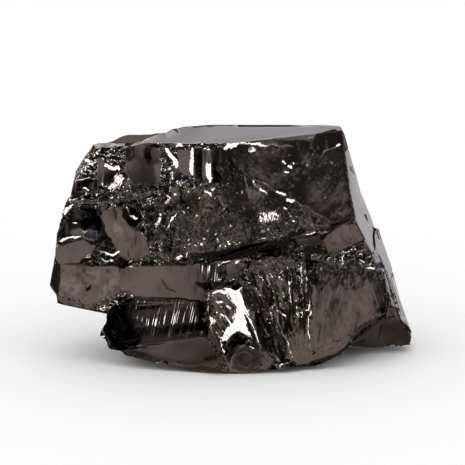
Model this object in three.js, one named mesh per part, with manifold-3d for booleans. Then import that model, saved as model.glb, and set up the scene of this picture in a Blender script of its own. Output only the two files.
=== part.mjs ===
// A lump of raw shungite, in millimetres, +Z up, resting on its flat base.
// The corners of its fracture faces are set out in a frame that leans back by LEAN:
// u to the right, v up the leaning front, and depth into the stone.
import * as THREE from "three";
import { mergeVertices } from "three/addons/utils/BufferGeometryUtils.js";
import Module from "manifold-3d";

const wasm = await Module();
wasm.setup();

// Driving dimensions
const LEAN = THREE.MathUtils.degToRad(12);
const BASE_CUT = 0.4; // how much of the lowest point the flat base takes off
const FRONT_FOOT = 3.5; // depth of that lowest point
const BLOCK = 200; // side of a block that trims more than the stone is wide
const SIGHT_LENGTH = 100; // how far in front of the stone a line of sight starts
const EGG_HEIGHT = 3; // height of a hollow's cutter, in depths of the hollow
const HOLLOW_RINGS = [16, 12]; // segments around and along a hollow's cutter
const FLUTE_SIDES = 36;
const FLUTE_PAST = 1.2; // how far a flute runs past both its ends
const CHIP_SIZE = [2.4, 5.2]; // least and greatest width of a chip
const CHIP_DEEP = [0.35, 0.8];
const CHIP_TILT = 0.35; // how far a chip may lean from the face it is in
const CHIP_SEED = 7;

// The outline seen from the front, clockwise from the top left corner.
const rim = [
  [-27.2, 46.0, 11], [-23.4, 46.9, 14], [-21.4, 48.2, 18], [-15.5, 48.1, 20],
  [-12.6, 48.7, 24], [-12.0, 49.4, 29], [-9.2, 49.9, 32], [-4.4, 50.3, 33.5],
  [18.8, 50.2, 26], [21.8, 50.0, 22.5], [23.8, 44.6, 26], [26.3, 36.3, 31],
  [28.9, 29.8, 32], [29.8, 28.9, 30], [32.4, 21.7, 31], [34.8, 12.6, 30],
  [36.5, 7.4, 25], [35.9, 4.8, 22], [29.0, 4.8, 19], [23.0, 5.3, 13],
  [21.6, 4.0, 8.5], [16.6, 1.8, 5], [11.0, 1.5, 3.5], [3.0, 0.7, 3],
  [-1.0, 0.0, 3.5], [-7.2, 0.8, 4], [-13.2, 2.0, 5], [-20.8, 3.7, 7],
  [-23.5, 6.0, 9], [-25.5, 8.0, 11], [-24.7, 11.9, 10], [-30.4, 13.0, 11],
  [-34.8, 13.9, 13], [-36.3, 17.4, 16], [-34.8, 23.4, 8.6], [-34.5, 27.4, 8.6],
  [-33.2, 33.7, 9], [-31.8, 35.4, 10.5], [-31.0, 40.1, 14], [-28.9, 43.4, 14],
];

// Lines of corners on the front, each from left to right or from top to bottom.
const brow = [
  [-24.8, 45.6, 8.3], [-21.6, 45.4, 7.8], [-19.2, 46.1, 7.5], [-17.0, 46.7, 7.2],
  [-11.4, 46.5, 6.4], [-7.4, 46.1, 5.7], [-4.2, 46.0, 5.0], [-1.2, 46.4, 3.5],
  [8.4, 47.5, 7.8], [16.2, 48.4, 11.3], [22.2, 48.8, 13.9],
];
const corner = [
  [22.6, 42.8, 12.7], [24.8, 30.6, 10.8], [27.0, 26.8, 11.3], [29.4, 22.4, 11.2],
  [31.2, 19.8, 11.2], [32.0, 17.0, 11.4], [33.4, 12.6, 12.8], [34.8, 10.2, 16],
];
const spine = [[-0.2, 42.8, 3.1], [4.8, 39.8, 4.5], [12.0, 35.2, 6.5], [18.6, 30.6, 8.2]];
const shelf = [[-7.4, 23.5, 2.6], [2.0, 25.3, 2.2], [12.7, 27.8, 6], [20.4, 29.1, 9.8]];
const sill = [[-6.6, 21.8, 4.8], [2.0, 22.2, 6.0], [11.0, 24.4, 7.4]];
const heel = [[14.0, 25.0, 8], [18.3, 25.4, 9.4], [21.1, 24.8, 10]];
const wedge = [[-4.4, 17.8, 3.8], [0.4, 18.8, 3.2], [6.4, 21.6, 4.6]];
const seam = [[-4.6, 15.0, 3.2], [-3.4, 8.6, 2.8], [-0.8, 4.0, 3]];
const fan = [
  [5.6, 15.5, 3.4], [12.0, 15.0, 3.8], [20.0, 15.0, 5.2], [27.0, 17.0, 7.8],
  [7.0, 7.0, 1.2], [12.0, 6.0, 2.2], [20.0, 7.0, 5.2],
];
const lip = [[30.4, 11.6, 10.8], [26.6, 9.2, 9], [24.2, 7.0, 8]];
const arm = [
  [-1.6, 17.5, 4.1], [2.2, 17.1, 2.4], [4.6, 7.6, -0.2], [2.0, 9.4, 1.3],
  [-0.6, 5.6, 1.9], [-2.2, 6.8, 2.8], [0.2, 12.0, 2.5],
];
const step = [[-26.0, 35.0, 6.2], [-20.0, 35.6, 5], [-14.0, 36.6, 4.4]];
const stepBack = [[-26.0, 35.6, 7.5], [-20.0, 36.2, 6.6], [-14.0, 37.2, 5.8]];
const shoulder = [[-8.0, 38.0, 4.6], [-3.0, 40.0, 3.8]];
const cheek = [[-13.0, 29.0, 4], [-11.6, 22.6, 3.5]];
const rough = [[-4.0, 31.0, 2.0], [5.0, 31.0, 3.6]];
const left = [[-28.0, 28.0, 6.6], [-21.0, 29.0, 5], [-30.4, 23.6, 7.2], [-34.0, 22.6, 7.9]];
const fluteMiddles = [[-26.0, 40.0, 7.9], [-18.0, 41.0, 6.8], [-10.0, 41.0, 5.6]];
const band = [[-22.0, 22.2, 6], [-12.0, 15.4, 4.4], [-20.0, 15.1, 5.8], [-22.0, 15.0, 6.4]];
const hollow = [[-33.6, 19.0, 7.9], [-34.2, 14.6, 9.4]];
const belly = [[-16.0, 10.0, 5.6], [-8.0, 10.0, 4.4], [-16.0, 4.6, 6], [-7.0, 4.2, 4.2]];
const topStep = [-20.0, 46.7, 12];
const flankNotch = [29.2, 24.6, 24];

// Corners on the hidden side.
const back = [
  [-20, 38, 33], [0, 36, 41], [20, 34, 38], [-27, 20, 32], [-8, 16, 44],
  [14, 14, 45], [29, 14, 38], [-17, 4, 34], [0, 3, 43], [19, 6, 41],
  [-30, 32, 18],
];

// Each face is a loop of corners. One whose loop runs the other way is turned when it is made.
const r = (...picks) => picks.map((i) => rim[i]);
const frontFaces = {
  topLeft: [...r(0, 1), topStep, brow[2], brow[1], brow[0]],
  topSlope: [...r(1, 2, 3), brow[3], brow[2], topStep],
  top: [...r(3, 4, 5, 6, 7, 8, 9), ...brow.slice(3).reverse()],
  flank: [brow[10], ...r(9, 10, 11, 12), flankNotch, corner[3], corner[2], corner[1], corner[0]],
  lowerFlank: [...r(12, 13, 14, 15, 16), ...corner.slice(3).reverse(), flankNotch],
  underside: [corner[6], corner[7], ...r(16, 17, 18, 19), lip[2], lip[1], lip[0]],
  darkFace: [...brow.slice(7), corner[0], corner[1], ...spine.slice().reverse()],
  roughLeft: [step[2], ...shoulder, rough[0], shelf[0], cheek[1], cheek[0]],
  roughMiddle: [shoulder[1], spine[0], spine[1], rough[1], shelf[1], shelf[0], rough[0]],
  roughRight: [spine[1], spine[2], spine[3], shelf[3], shelf[2], shelf[1], rough[1]],
  roughTip: [spine[3], corner[1], shelf[3]],
  panel: [shelf[3], corner[1], corner[2], heel[2], heel[1]],
  panelLeft: [shelf[2], shelf[3], heel[1], heel[0]],
  recess: [shelf[0], shelf[1], shelf[2], heel[0], sill[2], sill[1], sill[0]],
  wedgeFace: [...sill, wedge[2], wedge[1], wedge[0]],
  whitePatch: arm,
  patchLeft: [wedge[0], arm[0], arm[6], arm[5], seam[1], seam[0]],
  patchTop: [wedge[0], wedge[1], arm[1], arm[0]],
  patchHook: [arm[5], arm[4], seam[2], seam[1]],
  patchRight: [wedge[1], fan[0], fan[4], arm[2], arm[1]],
  patchFoot: [arm[4], arm[3], arm[2], fan[4], ...r(23, 24), seam[2]],
  fanTop: [wedge[1], wedge[2], sill[2], heel[0], fan[1], fan[0]],
  fanTopRight: [...heel, fan[2], fan[1]],
  fanRight: [heel[2], corner[2], corner[3], corner[4], fan[3], fan[2]],
  fanEdge: [corner[4], corner[5], corner[6], lip[0], fan[3]],
  fanLip: [fan[3], ...lip, fan[6], fan[2]],
  fanMiddle: [fan[0], fan[1], fan[5], fan[4]],
  fanMiddleRight: [fan[1], fan[2], fan[6], fan[5]],
  fanFoot: [fan[4], fan[5], ...r(22, 23)],
  fanFootRight: [fan[5], fan[6], lip[2], ...r(19, 20, 21, 22)],
  bandFace: [band[0], cheek[1], shelf[0], sill[0], wedge[0], seam[0], band[1], band[2], band[3]],
  frosted: [left[3], left[2], band[0], band[3], ...r(30, 31, 32), hollow[1], hollow[0]],
  blackFace: [...r(32, 33, 34), left[3], hollow[0], hollow[1]],
  bellyEnd: [...r(30), band[3], band[2], belly[0], ...r(29)],
  bellyTop: [band[2], band[1], belly[1], belly[0]],
  bellyTopRight: [band[1], seam[0], seam[1], belly[1]],
  bellyRight: [belly[1], seam[1], seam[2], belly[3]],
  bellyMiddle: [belly[0], belly[1], belly[3], belly[2]],
  bellyFoot: [belly[2], belly[3], seam[2], ...r(24, 25, 26)],
  bellyFootLeft: [belly[0], belly[2], ...r(26, 27, 28, 29)],
  leftTop: [...r(36, 37), step[0], step[1], left[1], left[0], ...r(35)],
  leftTopRight: [step[1], step[2], cheek[0], left[1]],
  leftMiddle: [left[0], left[1], cheek[0], cheek[1], band[0], left[2]],
  leftPanel: [...r(35), left[0], left[2], left[3], ...r(34)],
  stepTop: [...r(37), ...stepBack, shoulder[0], step[2], step[1], step[0]],
  flutesLeft: [...r(37, 38, 39, 0), brow[0], fluteMiddles[0], stepBack[0]],
  flutesMiddle: [
    brow[0], brow[1], brow[2], brow[3], fluteMiddles[1], stepBack[1], stepBack[0], fluteMiddles[0],
  ],
  flutesRight: [brow[3], brow[4], fluteMiddles[2], stepBack[2], stepBack[1], fluteMiddles[1]],
  flutesEnd: [...brow.slice(4, 8), spine[0], shoulder[1], shoulder[0], stepBack[2], fluteMiddles[2]],
};
const backFaces = {
  behindTopLeft: [...r(3, 2, 1, 0, 39, 38), back[0]],
  behindTop: [...r(3, 4, 5, 6), back[1], back[0]],
  behindTopEnd: [...r(6, 7), back[1]],
  behindTopRight: [...r(7, 8), back[2], back[1]],
  behindFlank: [...r(8, 9, 10, 11, 12), back[2]],
  behindFlankMiddle: [...r(12, 13, 14), back[6], back[2]],
  behindFlankFoot: [...r(14, 15, 16), back[6]],
  underRight: [...r(16, 17, 18), back[9], back[6]],
  underFan: [...r(18, 19, 20, 21), back[8], back[9]],
  underFanLeft: [...r(21, 22, 23, 24), back[8]],
  underBelly: [...r(24, 25, 26, 27), back[7], back[8]],
  underBellyEnd: [...r(27, 28, 29, 30), back[7]],
  underLeft: [...r(30, 31, 32), back[3], back[7]],
  behindBlack: [...r(32, 33, 34), back[3]],
  behindLeft: [...r(34, 35, 36), back[10], back[3]],
  behindLeftTop: [...r(36, 37, 38), back[0], back[10]],
  behindLeftEnd: [back[0], back[3], back[10]],
  upperBack: [back[0], back[1], back[4], back[3]],
  upperBackRight: [back[1], back[2], back[5], back[4]],
  rightBack: [back[2], back[6], back[5]],
  lowerBack: [back[3], back[4], back[8], back[7]],
  lowerBackRight: [back[4], back[5], back[9], back[8]],
  lowerRightBack: [back[5], back[6], back[9]],
};

// Flutes: tapering troughs that run from one corner to another across the front and a little past.
const flutes = {
  edgeFlute: { from: [-26.4, 45.2], to: [-26.4, 36.4], widths: [1.8, 3.0], deeps: [0.3, 0.5] },
  chippedFlute: { from: [-22.8, 45.2], to: [-22.6, 36.8], widths: [4.4, 5.6], deeps: [0.4, 0.7] },
  greatFlute: { from: [-17.4, 45.6], to: [-17.0, 37.2], widths: [6.4, 7.6], deeps: [0.5, 0.9] },
  brownFlute: { from: [-11.2, 45.6], to: [-8.6, 39.6], widths: [3.8, 4.6], deeps: [0.35, 0.6] },
  blackFlute: { from: [-6.4, 45.4], to: [-4.6, 38.6], widths: [3.0, 3.4], deeps: [0.9, 1.0] },
  shortFlute: { from: [-3.4, 45.8], to: [-2.8, 40.6], widths: [2.4, 2.2], deeps: [0.5, 0.4] },
  cornerFlute: { from: [-1.2, 45.6], to: [0.6, 38.0], widths: [2.6, 3.0], deeps: [0.9, 0.8] },
  fanSpear: { from: [5.6, 5.6], to: [4.2, 13.0], widths: [2.0, 1.6], deeps: [0.6, 0.4] },
  fanFirst: { from: [8.6, 2.2], to: [5.6, 16.6], widths: [3.2, 4.6], deeps: [0.5, 0.45] },
  fanNext: { from: [11.6, 2.2], to: [8.6, 18.4], widths: [3.2, 4.2], deeps: [0.5, 0.45] },
  fanSecond: { from: [14.7, 2.8], to: [12.7, 20.2], widths: [3.6, 5.4], deeps: [0.5, 0.4] },
  fanThird: { from: [18.7, 3.8], to: [19.3, 19.6], widths: [4.6, 8.0], deeps: [0.4, 0.35] },
  fanFourth: { from: [23.6, 7.8], to: [26.3, 18.8], widths: [4.6, 6.6], deeps: [0.35, 0.35] },
};

// Smooth hollows: each runs from one corner to another across the front, width by deep.
// The great scoop looks straight out and stops short at the seam.
const hollows = {
  greatScoop: {
    from: [-24.4, 10.3], to: [0.0, 10.8], width: 9.8, deep: 3.2, facing: [0.0, 0.0, 1.0], stop: -4.6,
  },
  scoopEnd: { from: [-24.8, 12.0], to: [-21.6, 6.6], width: 5.0, deep: 1.6 },
  darkChip: { from: [-29.4, 40.2], to: [-26.2, 36.6], width: 3.2, deep: 0.8 },
  brightPatch: { from: [-25.4, 42.2], to: [-22.2, 41.0], width: 2.4, deep: 0.5 },
  brightChute: { from: [-24.6, 36.8], to: [-21.0, 41.2], width: 2.8, deep: 0.8 },
  flutePocket: { from: [-16.3, 45.0], to: [-16.2, 42.0], width: 1.4, deep: 1.0 },
  roundPit: { from: [-11.8, 45.9], to: [-10.8, 44.5], width: 1.7, deep: 0.8 },
  violetScoop: { from: [-33.0, 31.0], to: [-26.6, 27.6], width: 5.4, deep: 1.1 },
  glossyScoop: { from: [-20.0, 34.0], to: [-18.6, 28.8], width: 4.6, deep: 1.5 },
  longFacet: { from: [-25.4, 34.8], to: [-23.2, 28.2], width: 4.0, deep: 0.6 },
  middleFacet: { from: [-22.6, 33.4], to: [-20.4, 25.8], width: 3.8, deep: 0.6 },
  shortFacet: { from: [-18.4, 30.4], to: [-17.2, 25.0], width: 4.2, deep: 0.7 },
  paleSlot: { from: [-27.6, 24.2], to: [-19.6, 23.4], width: 2.8, deep: 0.8 },
  crackHead: { from: [-10.6, 38.0], to: [-9.4, 32.4], width: 1.8, deep: 1.2 },
  slantGroove: { from: [-9.4, 34.4], to: [-4.2, 27.0], width: 3.0, deep: 0.8 },
  creaseUp: { from: [-15.6, 30.6], to: [-10.0, 35.8], width: 2.6, deep: 0.8 },
  creaseLow: { from: [-15.0, 26.8], to: [-8.2, 32.2], width: 3.0, deep: 0.8 },
  upperCrescent: { from: [-0.4, 44.2], to: [11.0, 44.8], width: 6.4, deep: 0.9 },
  ridgeUnder: { from: [0.6, 40.2], to: [12.0, 33.0], width: 4.6, deep: 1.1 },
  glowPatch: { from: [3.8, 32.4], to: [11.6, 31.6], width: 4.4, deep: 0.8 },
  ridgePit: { from: [11.4, 34.2], to: [14.8, 32.6], width: 2.2, deep: 0.8 },
  rippleBowl: { from: [18.0, 45.0], to: [20.8, 33.0], width: 9.6, deep: 0.7 },
  darkFaceDip: { from: [5.6, 43.0], to: [15.4, 35.6], width: 7.0, deep: 0.8 },
  ledgeChip: { from: [17.4, 44.2], to: [22.2, 46.4], width: 2.4, deep: 0.6 },
  bandEnd: { from: [-4.4, 22.8], to: [-3.2, 17.6], width: 5.4, deep: 1.0 },
  blackHollow: { from: [1.9, 8.8], to: [2.3, 4.0], width: 4.6, deep: 1.2 },
  ringHollow: { from: [2.4, 5.4], to: [4.0, 1.4], width: 4.8, deep: 0.8 },
  crevice: { from: [9.0, 25.0], to: [14.6, 22.2], width: 2.4, deep: 1.3 },
  panelUnder: { from: [13.8, 25.0], to: [27.0, 26.2], width: 2.4, deep: 0.9 },
  heelChip: { from: [23.6, 24.4], to: [29.6, 21.0], width: 3.4, deep: 0.8 },
  flankPit: { from: [30.6, 16.4], to: [31.0, 12.6], width: 1.8, deep: 1.0 },
};

// Broad hollows on the hidden side, set out as seen through the stone from the front.
const backHollows = {
  topLeftShell: { from: [-25.0, 31.0], to: [0.0, 25.0], width: 19.0, deep: 2.4 },
  topRightShell: { from: [-3.0, 29.0], to: [26.0, 27.0], width: 18.0, deep: 2.2 },
  lowLeftShell: { from: [-20.0, 16.0], to: [-2.0, 13.0], width: 8.0, deep: 1.3 },
  lowRightShell: { from: [8.0, 15.0], to: [26.0, 16.0], width: 9.0, deep: 1.4 },
  brinkShell: { from: [-4.0, 36.0], to: [12.0, 40.0], width: 8.0, deep: 1.2 },
};

// Bands of angular chips: the line each follows, its width and how many chips it has.
const chipBands = [
  { from: [-13.0, 29.0], to: [18.0, 31.0], width: 5.0, count: 26 },
  { from: [-12.0, 36.0], to: [3.0, 36.0], width: 4.0, count: 10 },
  { from: [-32.0, 32.8], to: [-15.0, 34.0], width: 2.4, count: 8 },
  { from: [-30.0, 25.2], to: [-12.0, 24.4], width: 2.0, count: 8 },
  { from: [2.0, 20.4], to: [28.0, 21.4], width: 3.0, count: 12 },
  { from: [-28.0, 14.6], to: [-23.0, 16.2], width: 1.6, count: 4 },
];

// The triangles of one loop, all turning the same way as seen from the front or from behind.
function trianglesOf(loop, fromFront) {
  const flat = loop.map(([u, v]) => new THREE.Vector2(u, v));
  const turned = THREE.ShapeUtils.isClockWise(flat);
  const corners = turned ? [...loop].reverse() : loop;
  const outline = turned ? flat.reverse() : flat;
  return THREE.ShapeUtils.triangulateShape(outline, []).flatMap(([a, b, c]) =>
    (fromFront ? [a, b, c] : [a, c, b]).map((i) => corners[i]),
  );
}

// A point of the leaning frame in the stone's own frame: x right, y away, z up.
function place([u, v, depth]) {
  return new THREE.Vector3(
    u,
    v * Math.sin(LEAN) + depth * Math.cos(LEAN),
    v * Math.cos(LEAN) - depth * Math.sin(LEAN),
  );
}

function solidOf(geometry) {
  const plain = geometry.clone();
  plain.deleteAttribute("normal");
  plain.deleteAttribute("uv");
  const merged = mergeVertices(plain, 1e-4);
  return new wasm.Manifold(
    new wasm.Mesh({
      numProp: 3,
      vertProperties: merged.attributes.position.array,
      triVerts: new Uint32Array(merged.index.array),
    }),
  );
}

function geometryOf(solid) {
  const mesh = solid.getMesh();
  const geometry = new THREE.BufferGeometry();
  geometry.setAttribute("position", new THREE.BufferAttribute(mesh.vertProperties, 3));
  geometry.setIndex(new THREE.BufferAttribute(mesh.triVerts, 1));
  geometry.computeVertexNormals();
  return geometry;
}

function lumpGeometry() {
  const corners = [
    ...Object.values(frontFaces).flatMap((loop) => trianglesOf(loop, true)),
    ...Object.values(backFaces).flatMap((loop) => trianglesOf(loop, false)),
  ];
  return new THREE.BufferGeometry().setFromPoints(corners.map(place));
}

const lump = lumpGeometry();
const lumpMesh = new THREE.Mesh(lump);
const caster = new THREE.Raycaster();

// The point of the stone that is seen at (u, v), and the way the stone faces there.
function surfaceAt([u, v], fromBehind = false) {
  const side = fromBehind ? -1 : 1;
  caster.set(place([u, v, -SIGHT_LENGTH * side]), place([0, 0, side]));
  const [hit] = caster.intersectObject(lumpMesh);
  return { point: hit.point, normal: hit.face.normal.clone() };
}

// Turns a cutter made around the origin to lie along a line, looking out of the stone.
function setCutter(cutter, middle, along, out) {
  const y = along.clone().normalize();
  const x = y.clone().cross(out).normalize();
  const z = x.clone().cross(y);
  const frame = new THREE.Matrix4().makeBasis(x, y, z).setPosition(middle);
  return solidOf(cutter.applyMatrix4(frame));
}

// An egg-shaped cutter that leaves a hollow of this width, length and depth in a flat face.
function eggCutter(shape, middle, along, out, width, length, deep) {
  const reach = Math.sqrt(1 - ((EGG_HEIGHT - 1) / EGG_HEIGHT) ** 2);
  const egg = shape.scale(width / 2 / reach, length / 2 / reach, deep * EGG_HEIGHT);
  const lift = out.clone().normalize().multiplyScalar(deep * (EGG_HEIGHT - 1));
  return setCutter(egg, middle.clone().add(lift), along, out);
}

function blockRightOf(u) {
  const block = new THREE.BoxGeometry(BLOCK, BLOCK, BLOCK);
  return solidOf(block.translate(u + BLOCK / 2, 0, 0));
}

function hollowCutter({ from, to, width, deep, facing, stop }, fromBehind) {
  const start = surfaceAt(from, fromBehind);
  const end = surfaceAt(to, fromBehind);
  const middle = start.point.clone().lerp(end.point, 0.5);
  const along = end.point.clone().sub(start.point);
  const [right, up, toward] = facing ?? [0, 0, 0];
  const out = facing ? place([right, up, -toward]) : start.normal.add(end.normal);
  const ball = new THREE.SphereGeometry(1, ...HOLLOW_RINGS).rotateX(Math.PI / 2);
  const cutter = eggCutter(ball, middle, along, out, width, along.length(), deep);
  return stop === undefined ? cutter : cutter.subtract(blockRightOf(stop));
}

// The radius of the trough that is this wide and this deep in a flat face.
const troughRadius = (width, deep) => ((width / 2) ** 2 + deep ** 2) / (2 * deep);

function fluteCutter({ from, to, widths, deeps }) {
  const radii = widths.map((width, i) => troughRadius(width, deeps[i]));
  const spots = [from, to].map((spot) => surfaceAt(spot));
  const out = spots[0].normal.clone().add(spots[1].normal).normalize();
  const [start, end] = spots.map(({ point }, i) => point.addScaledVector(out, radii[i] - deeps[i]));
  const length = start.distanceTo(end);
  const past = FLUTE_PAST / length;
  const startRadius = THREE.MathUtils.lerp(radii[0], radii[1], -past);
  const endRadius = THREE.MathUtils.lerp(radii[0], radii[1], 1 + past);
  const rod = new THREE.CylinderGeometry(endRadius, startRadius, length + FLUTE_PAST * 2, FLUTE_SIDES);
  return setCutter(rod, start.clone().lerp(end, 0.5), end.clone().sub(start).normalize(), out);
}

const random = THREE.MathUtils.seededRandom;
const between = ([low, high]) => low + (high - low) * random();

function chipCutter(from, to, width) {
  const start = new THREE.Vector2(...from);
  const end = new THREE.Vector2(...to);
  const side = end.clone().sub(start).normalize().rotateAround(new THREE.Vector2(), Math.PI / 2);
  const spot = start.lerp(end, random()).addScaledVector(side, (random() - 0.5) * width);
  const { point, normal } = surfaceAt(spot.toArray());
  const tilt = new THREE.Vector3(random() - 0.5, random() - 0.5, random() - 0.5);
  const out = normal.addScaledVector(tilt, CHIP_TILT * 2);
  const along = place([random() - 0.5, random() - 0.5, 0]);
  const gem = new THREE.IcosahedronGeometry(1, 0);
  return eggCutter(gem, point, along, out, between(CHIP_SIZE), between(CHIP_SIZE), between(CHIP_DEEP));
}

function chipCutters() {
  random(CHIP_SEED);
  return chipBands.flatMap(({ from, to, width, count }) =>
    Array.from({ length: count }, () => chipCutter(from, to, width)),
  );
}

function ground() {
  const top = place([0, BASE_CUT, FRONT_FOOT]).z;
  const block = new THREE.BoxGeometry(BLOCK, BLOCK, BLOCK);
  return solidOf(block.translate(0, 0, top - BLOCK / 2));
}

const cutters = [
  ...chipCutters(),
  ...Object.values(flutes).map(fluteCutter),
  ...Object.values(hollows).map((hollow) => hollowCutter(hollow, false)),
  ...Object.values(backHollows).map((hollow) => hollowCutter(hollow, true)),
  ground(),
];
let stone = solidOf(lump);
for (const cutter of cutters) {
  stone = stone.subtract(cutter);
}

const geometry = geometryOf(stone);
geometry.computeBoundingBox();
const box = geometry.boundingBox;
const middle = box.getCenter(new THREE.Vector3());
geometry.translate(-middle.x, -middle.y, -box.min.z);

const shungite = new THREE.Mesh(
  geometry,
  new THREE.MeshStandardMaterial({ color: 0x3a3634, roughness: 0.18, metalness: 0.9 }),
);
shungite.name = "shungite";

const part = new THREE.Group();
part.add(shungite);
export default part;
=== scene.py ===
import itertools
import math

import bpy
import numpy as np
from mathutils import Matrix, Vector
from mathutils.kdtree import KDTree


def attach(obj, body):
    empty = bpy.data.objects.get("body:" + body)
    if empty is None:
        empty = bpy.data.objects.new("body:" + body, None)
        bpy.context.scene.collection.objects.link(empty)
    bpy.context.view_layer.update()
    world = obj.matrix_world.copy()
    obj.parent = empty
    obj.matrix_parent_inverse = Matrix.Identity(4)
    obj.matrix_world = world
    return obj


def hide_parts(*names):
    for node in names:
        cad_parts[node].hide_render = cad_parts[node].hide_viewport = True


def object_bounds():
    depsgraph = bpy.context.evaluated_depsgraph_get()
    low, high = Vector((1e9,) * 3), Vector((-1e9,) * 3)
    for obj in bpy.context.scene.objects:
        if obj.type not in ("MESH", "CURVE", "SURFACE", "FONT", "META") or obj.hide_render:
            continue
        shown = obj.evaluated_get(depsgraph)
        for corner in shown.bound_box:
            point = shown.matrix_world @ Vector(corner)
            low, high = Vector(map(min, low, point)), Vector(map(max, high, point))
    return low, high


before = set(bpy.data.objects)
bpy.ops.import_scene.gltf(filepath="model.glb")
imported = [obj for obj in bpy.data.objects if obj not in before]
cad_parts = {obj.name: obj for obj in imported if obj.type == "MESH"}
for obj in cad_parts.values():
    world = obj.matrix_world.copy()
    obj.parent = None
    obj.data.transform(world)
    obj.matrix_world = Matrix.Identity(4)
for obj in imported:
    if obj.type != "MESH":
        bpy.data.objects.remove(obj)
cadLow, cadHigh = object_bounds()
bpy.ops.object.select_all(action="DESELECT")
print("frame loaded")

# The front is drawn as it looks from the camera, 5 units to a millimetre at the target:
# x to the right, y down, and depth away from the eye.
drawing = {
    "target": np.array((0, 0, 0.0245)),
    "eyeAway": 0.6,
    "unitsPerMetre": 5000,
    "lean": math.radians(12),
    "middle": (232.5, 228.7),
    "reach": 90,  # how deep the front goes
}
leanSin, leanCos = math.sin(drawing["lean"]), math.cos(drawing["lean"])
rightWay = np.array((1, 0, 0))
upWay = np.array((0, leanSin, leanCos))
towardWay = np.array((0, -leanCos, leanSin))


def toDrawing(points):
    spot = points - drawing["target"]
    toward = spot @ towardWay
    scale = drawing["unitsPerMetre"] / (1 - toward / drawing["eyeAway"])
    x = drawing["middle"][0] + spot @ rightWay * scale
    y = drawing["middle"][1] - spot @ upWay * scale
    return x, y, -toward * drawing["unitsPerMetre"]


def fromDrawing(x, y, depth):
    toward = -depth / drawing["unitsPerMetre"]
    scale = (1 - toward / drawing["eyeAway"]) / drawing["unitsPerMetre"]
    right = (x - drawing["middle"][0]) * scale
    up = (drawing["middle"][1] - y) * scale
    spot = drawing["target"] + np.outer(right, rightWay) + np.outer(up, upWay)
    return spot + np.outer(toward, towardWay)


def smooth(value, low, high):
    share = np.clip((value - low) / (high - low), 0, 1)
    return share * share * (3 - 2 * share)


def fallOff(value, low, high):
    # 1 up to low, and 0 from high on
    return smooth(-value, -high, -low)


def within(value, span):
    return (value > span[0]) & (value < span[1])


def turned(right, up, degrees):
    # an offset across and along a way that is turned clockwise from upright
    angle = math.radians(degrees)
    across = right * math.cos(angle) - up * math.sin(angle)
    along = right * math.sin(angle) + up * math.cos(angle)
    return across, along


# The numbers that stir a cell's place into a random one.
stir = {
    "primes": np.array([73856093, 19349663, 83492791]),
    "seedStep": 2654435761,
    "word": 0xFFFFFFFF,
    "step": 1664525,
    "shift": 1013904223,
    "mix": 0x45D9F3B,
}


def cellNumbers(cells, seed, count):
    # repeatable random numbers for whole-numbered cells
    word, mix = stir["word"], stir["mix"]
    primes = stir["primes"][: cells.shape[1]]
    key = (cells.astype(np.int64) @ primes + seed * stir["seedStep"]) & word
    numbers = []
    for turn in range(count):
        key = (key * stir["step"] + stir["shift"] + turn) & word
        mixed = ((key >> 16) ^ key) * mix & word
        mixed = ((mixed >> 16) ^ mixed) * mix & word
        numbers.append(((mixed >> 16) ^ mixed) / 2**32)
    return np.stack(numbers, 1)


def waves(points, seed):
    # soft noise from -1 to 1, one wave to a cell
    home = np.floor(points)
    share = points - home
    share = share * share * (3 - 2 * share)
    total = np.zeros(len(points))
    for corner in itertools.product((0, 1), repeat=points.shape[1]):
        weight = np.prod(np.where(corner, share, 1 - share), 1)
        total += weight * cellNumbers(home + corner, seed, 1)[:, 0]
    return total * 2 - 1


scaleShape = {"tilt": 0.6, "bowl": 1.0, "lift": 0.5, "margin": 0.1}


def scales(points, seed):
    # small bowls side by side, with sharp ridges between them
    sides = points.shape[1]
    margin, tilt = scaleShape["margin"], scaleShape["tilt"]
    home = np.floor(points)
    deepest = np.full(len(points), -np.inf)
    for step in itertools.product((-1, 0, 1), repeat=sides):
        cell = home + step
        number = cellNumbers(cell, seed, sides * 2 + 1)
        offset = points - cell - margin - number[:, :sides] * (1 - 2 * margin)
        down = (number[:, -1] - 0.5) * scaleShape["lift"] - scaleShape["bowl"] * (offset**2).sum(1)
        down += 2 * tilt * (offset * (number[:, sides:-1] - 0.5)).sum(1)
        np.maximum(deepest, down, out=deepest)
    return deepest


# How the stone is copied, remeshed and softened, in metres.
lumpMake = {
    "cell": 0.00025,
    "treeDepth": 9,
    "treeScale": 0.99,
    "mergeWithin": 1e-6,
    "creaseAngle": math.radians(26),
    "creaseKeep": (0.0003, 0.0013),
    "softenRounds": 30,
    "softenFactor": 0.5,
    "softenLevels": 20,
    "triangles": 201000,
    "leastRatio": 0.03,
    "frontLook": 0.3,
    "smoothAngle": math.radians(34),
}


def only(piece):
    bpy.ops.object.select_all(action="DESELECT")
    piece.select_set(True)
    bpy.context.view_layer.objects.active = piece


def applyModifier(piece, kind, **settings):
    modifier = piece.modifiers.new(kind.lower(), kind)
    for name, value in settings.items():
        setattr(modifier, name, value)
    only(piece)
    bpy.ops.object.modifier_apply(modifier=modifier.name)


def readPoints(piece, what):
    values = np.empty(len(piece.data.vertices) * 3, np.float32)
    piece.data.vertices.foreach_get(what, values)
    return values.reshape(-1, 3).astype(float)


def pointsOf(piece):
    return readPoints(piece, "co")


def normalsOf(piece):
    return readPoints(piece, "normal")


def setPoints(piece, points):
    piece.data.vertices.foreach_set("co", points.astype(np.float32).ravel())
    piece.data.update()


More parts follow.
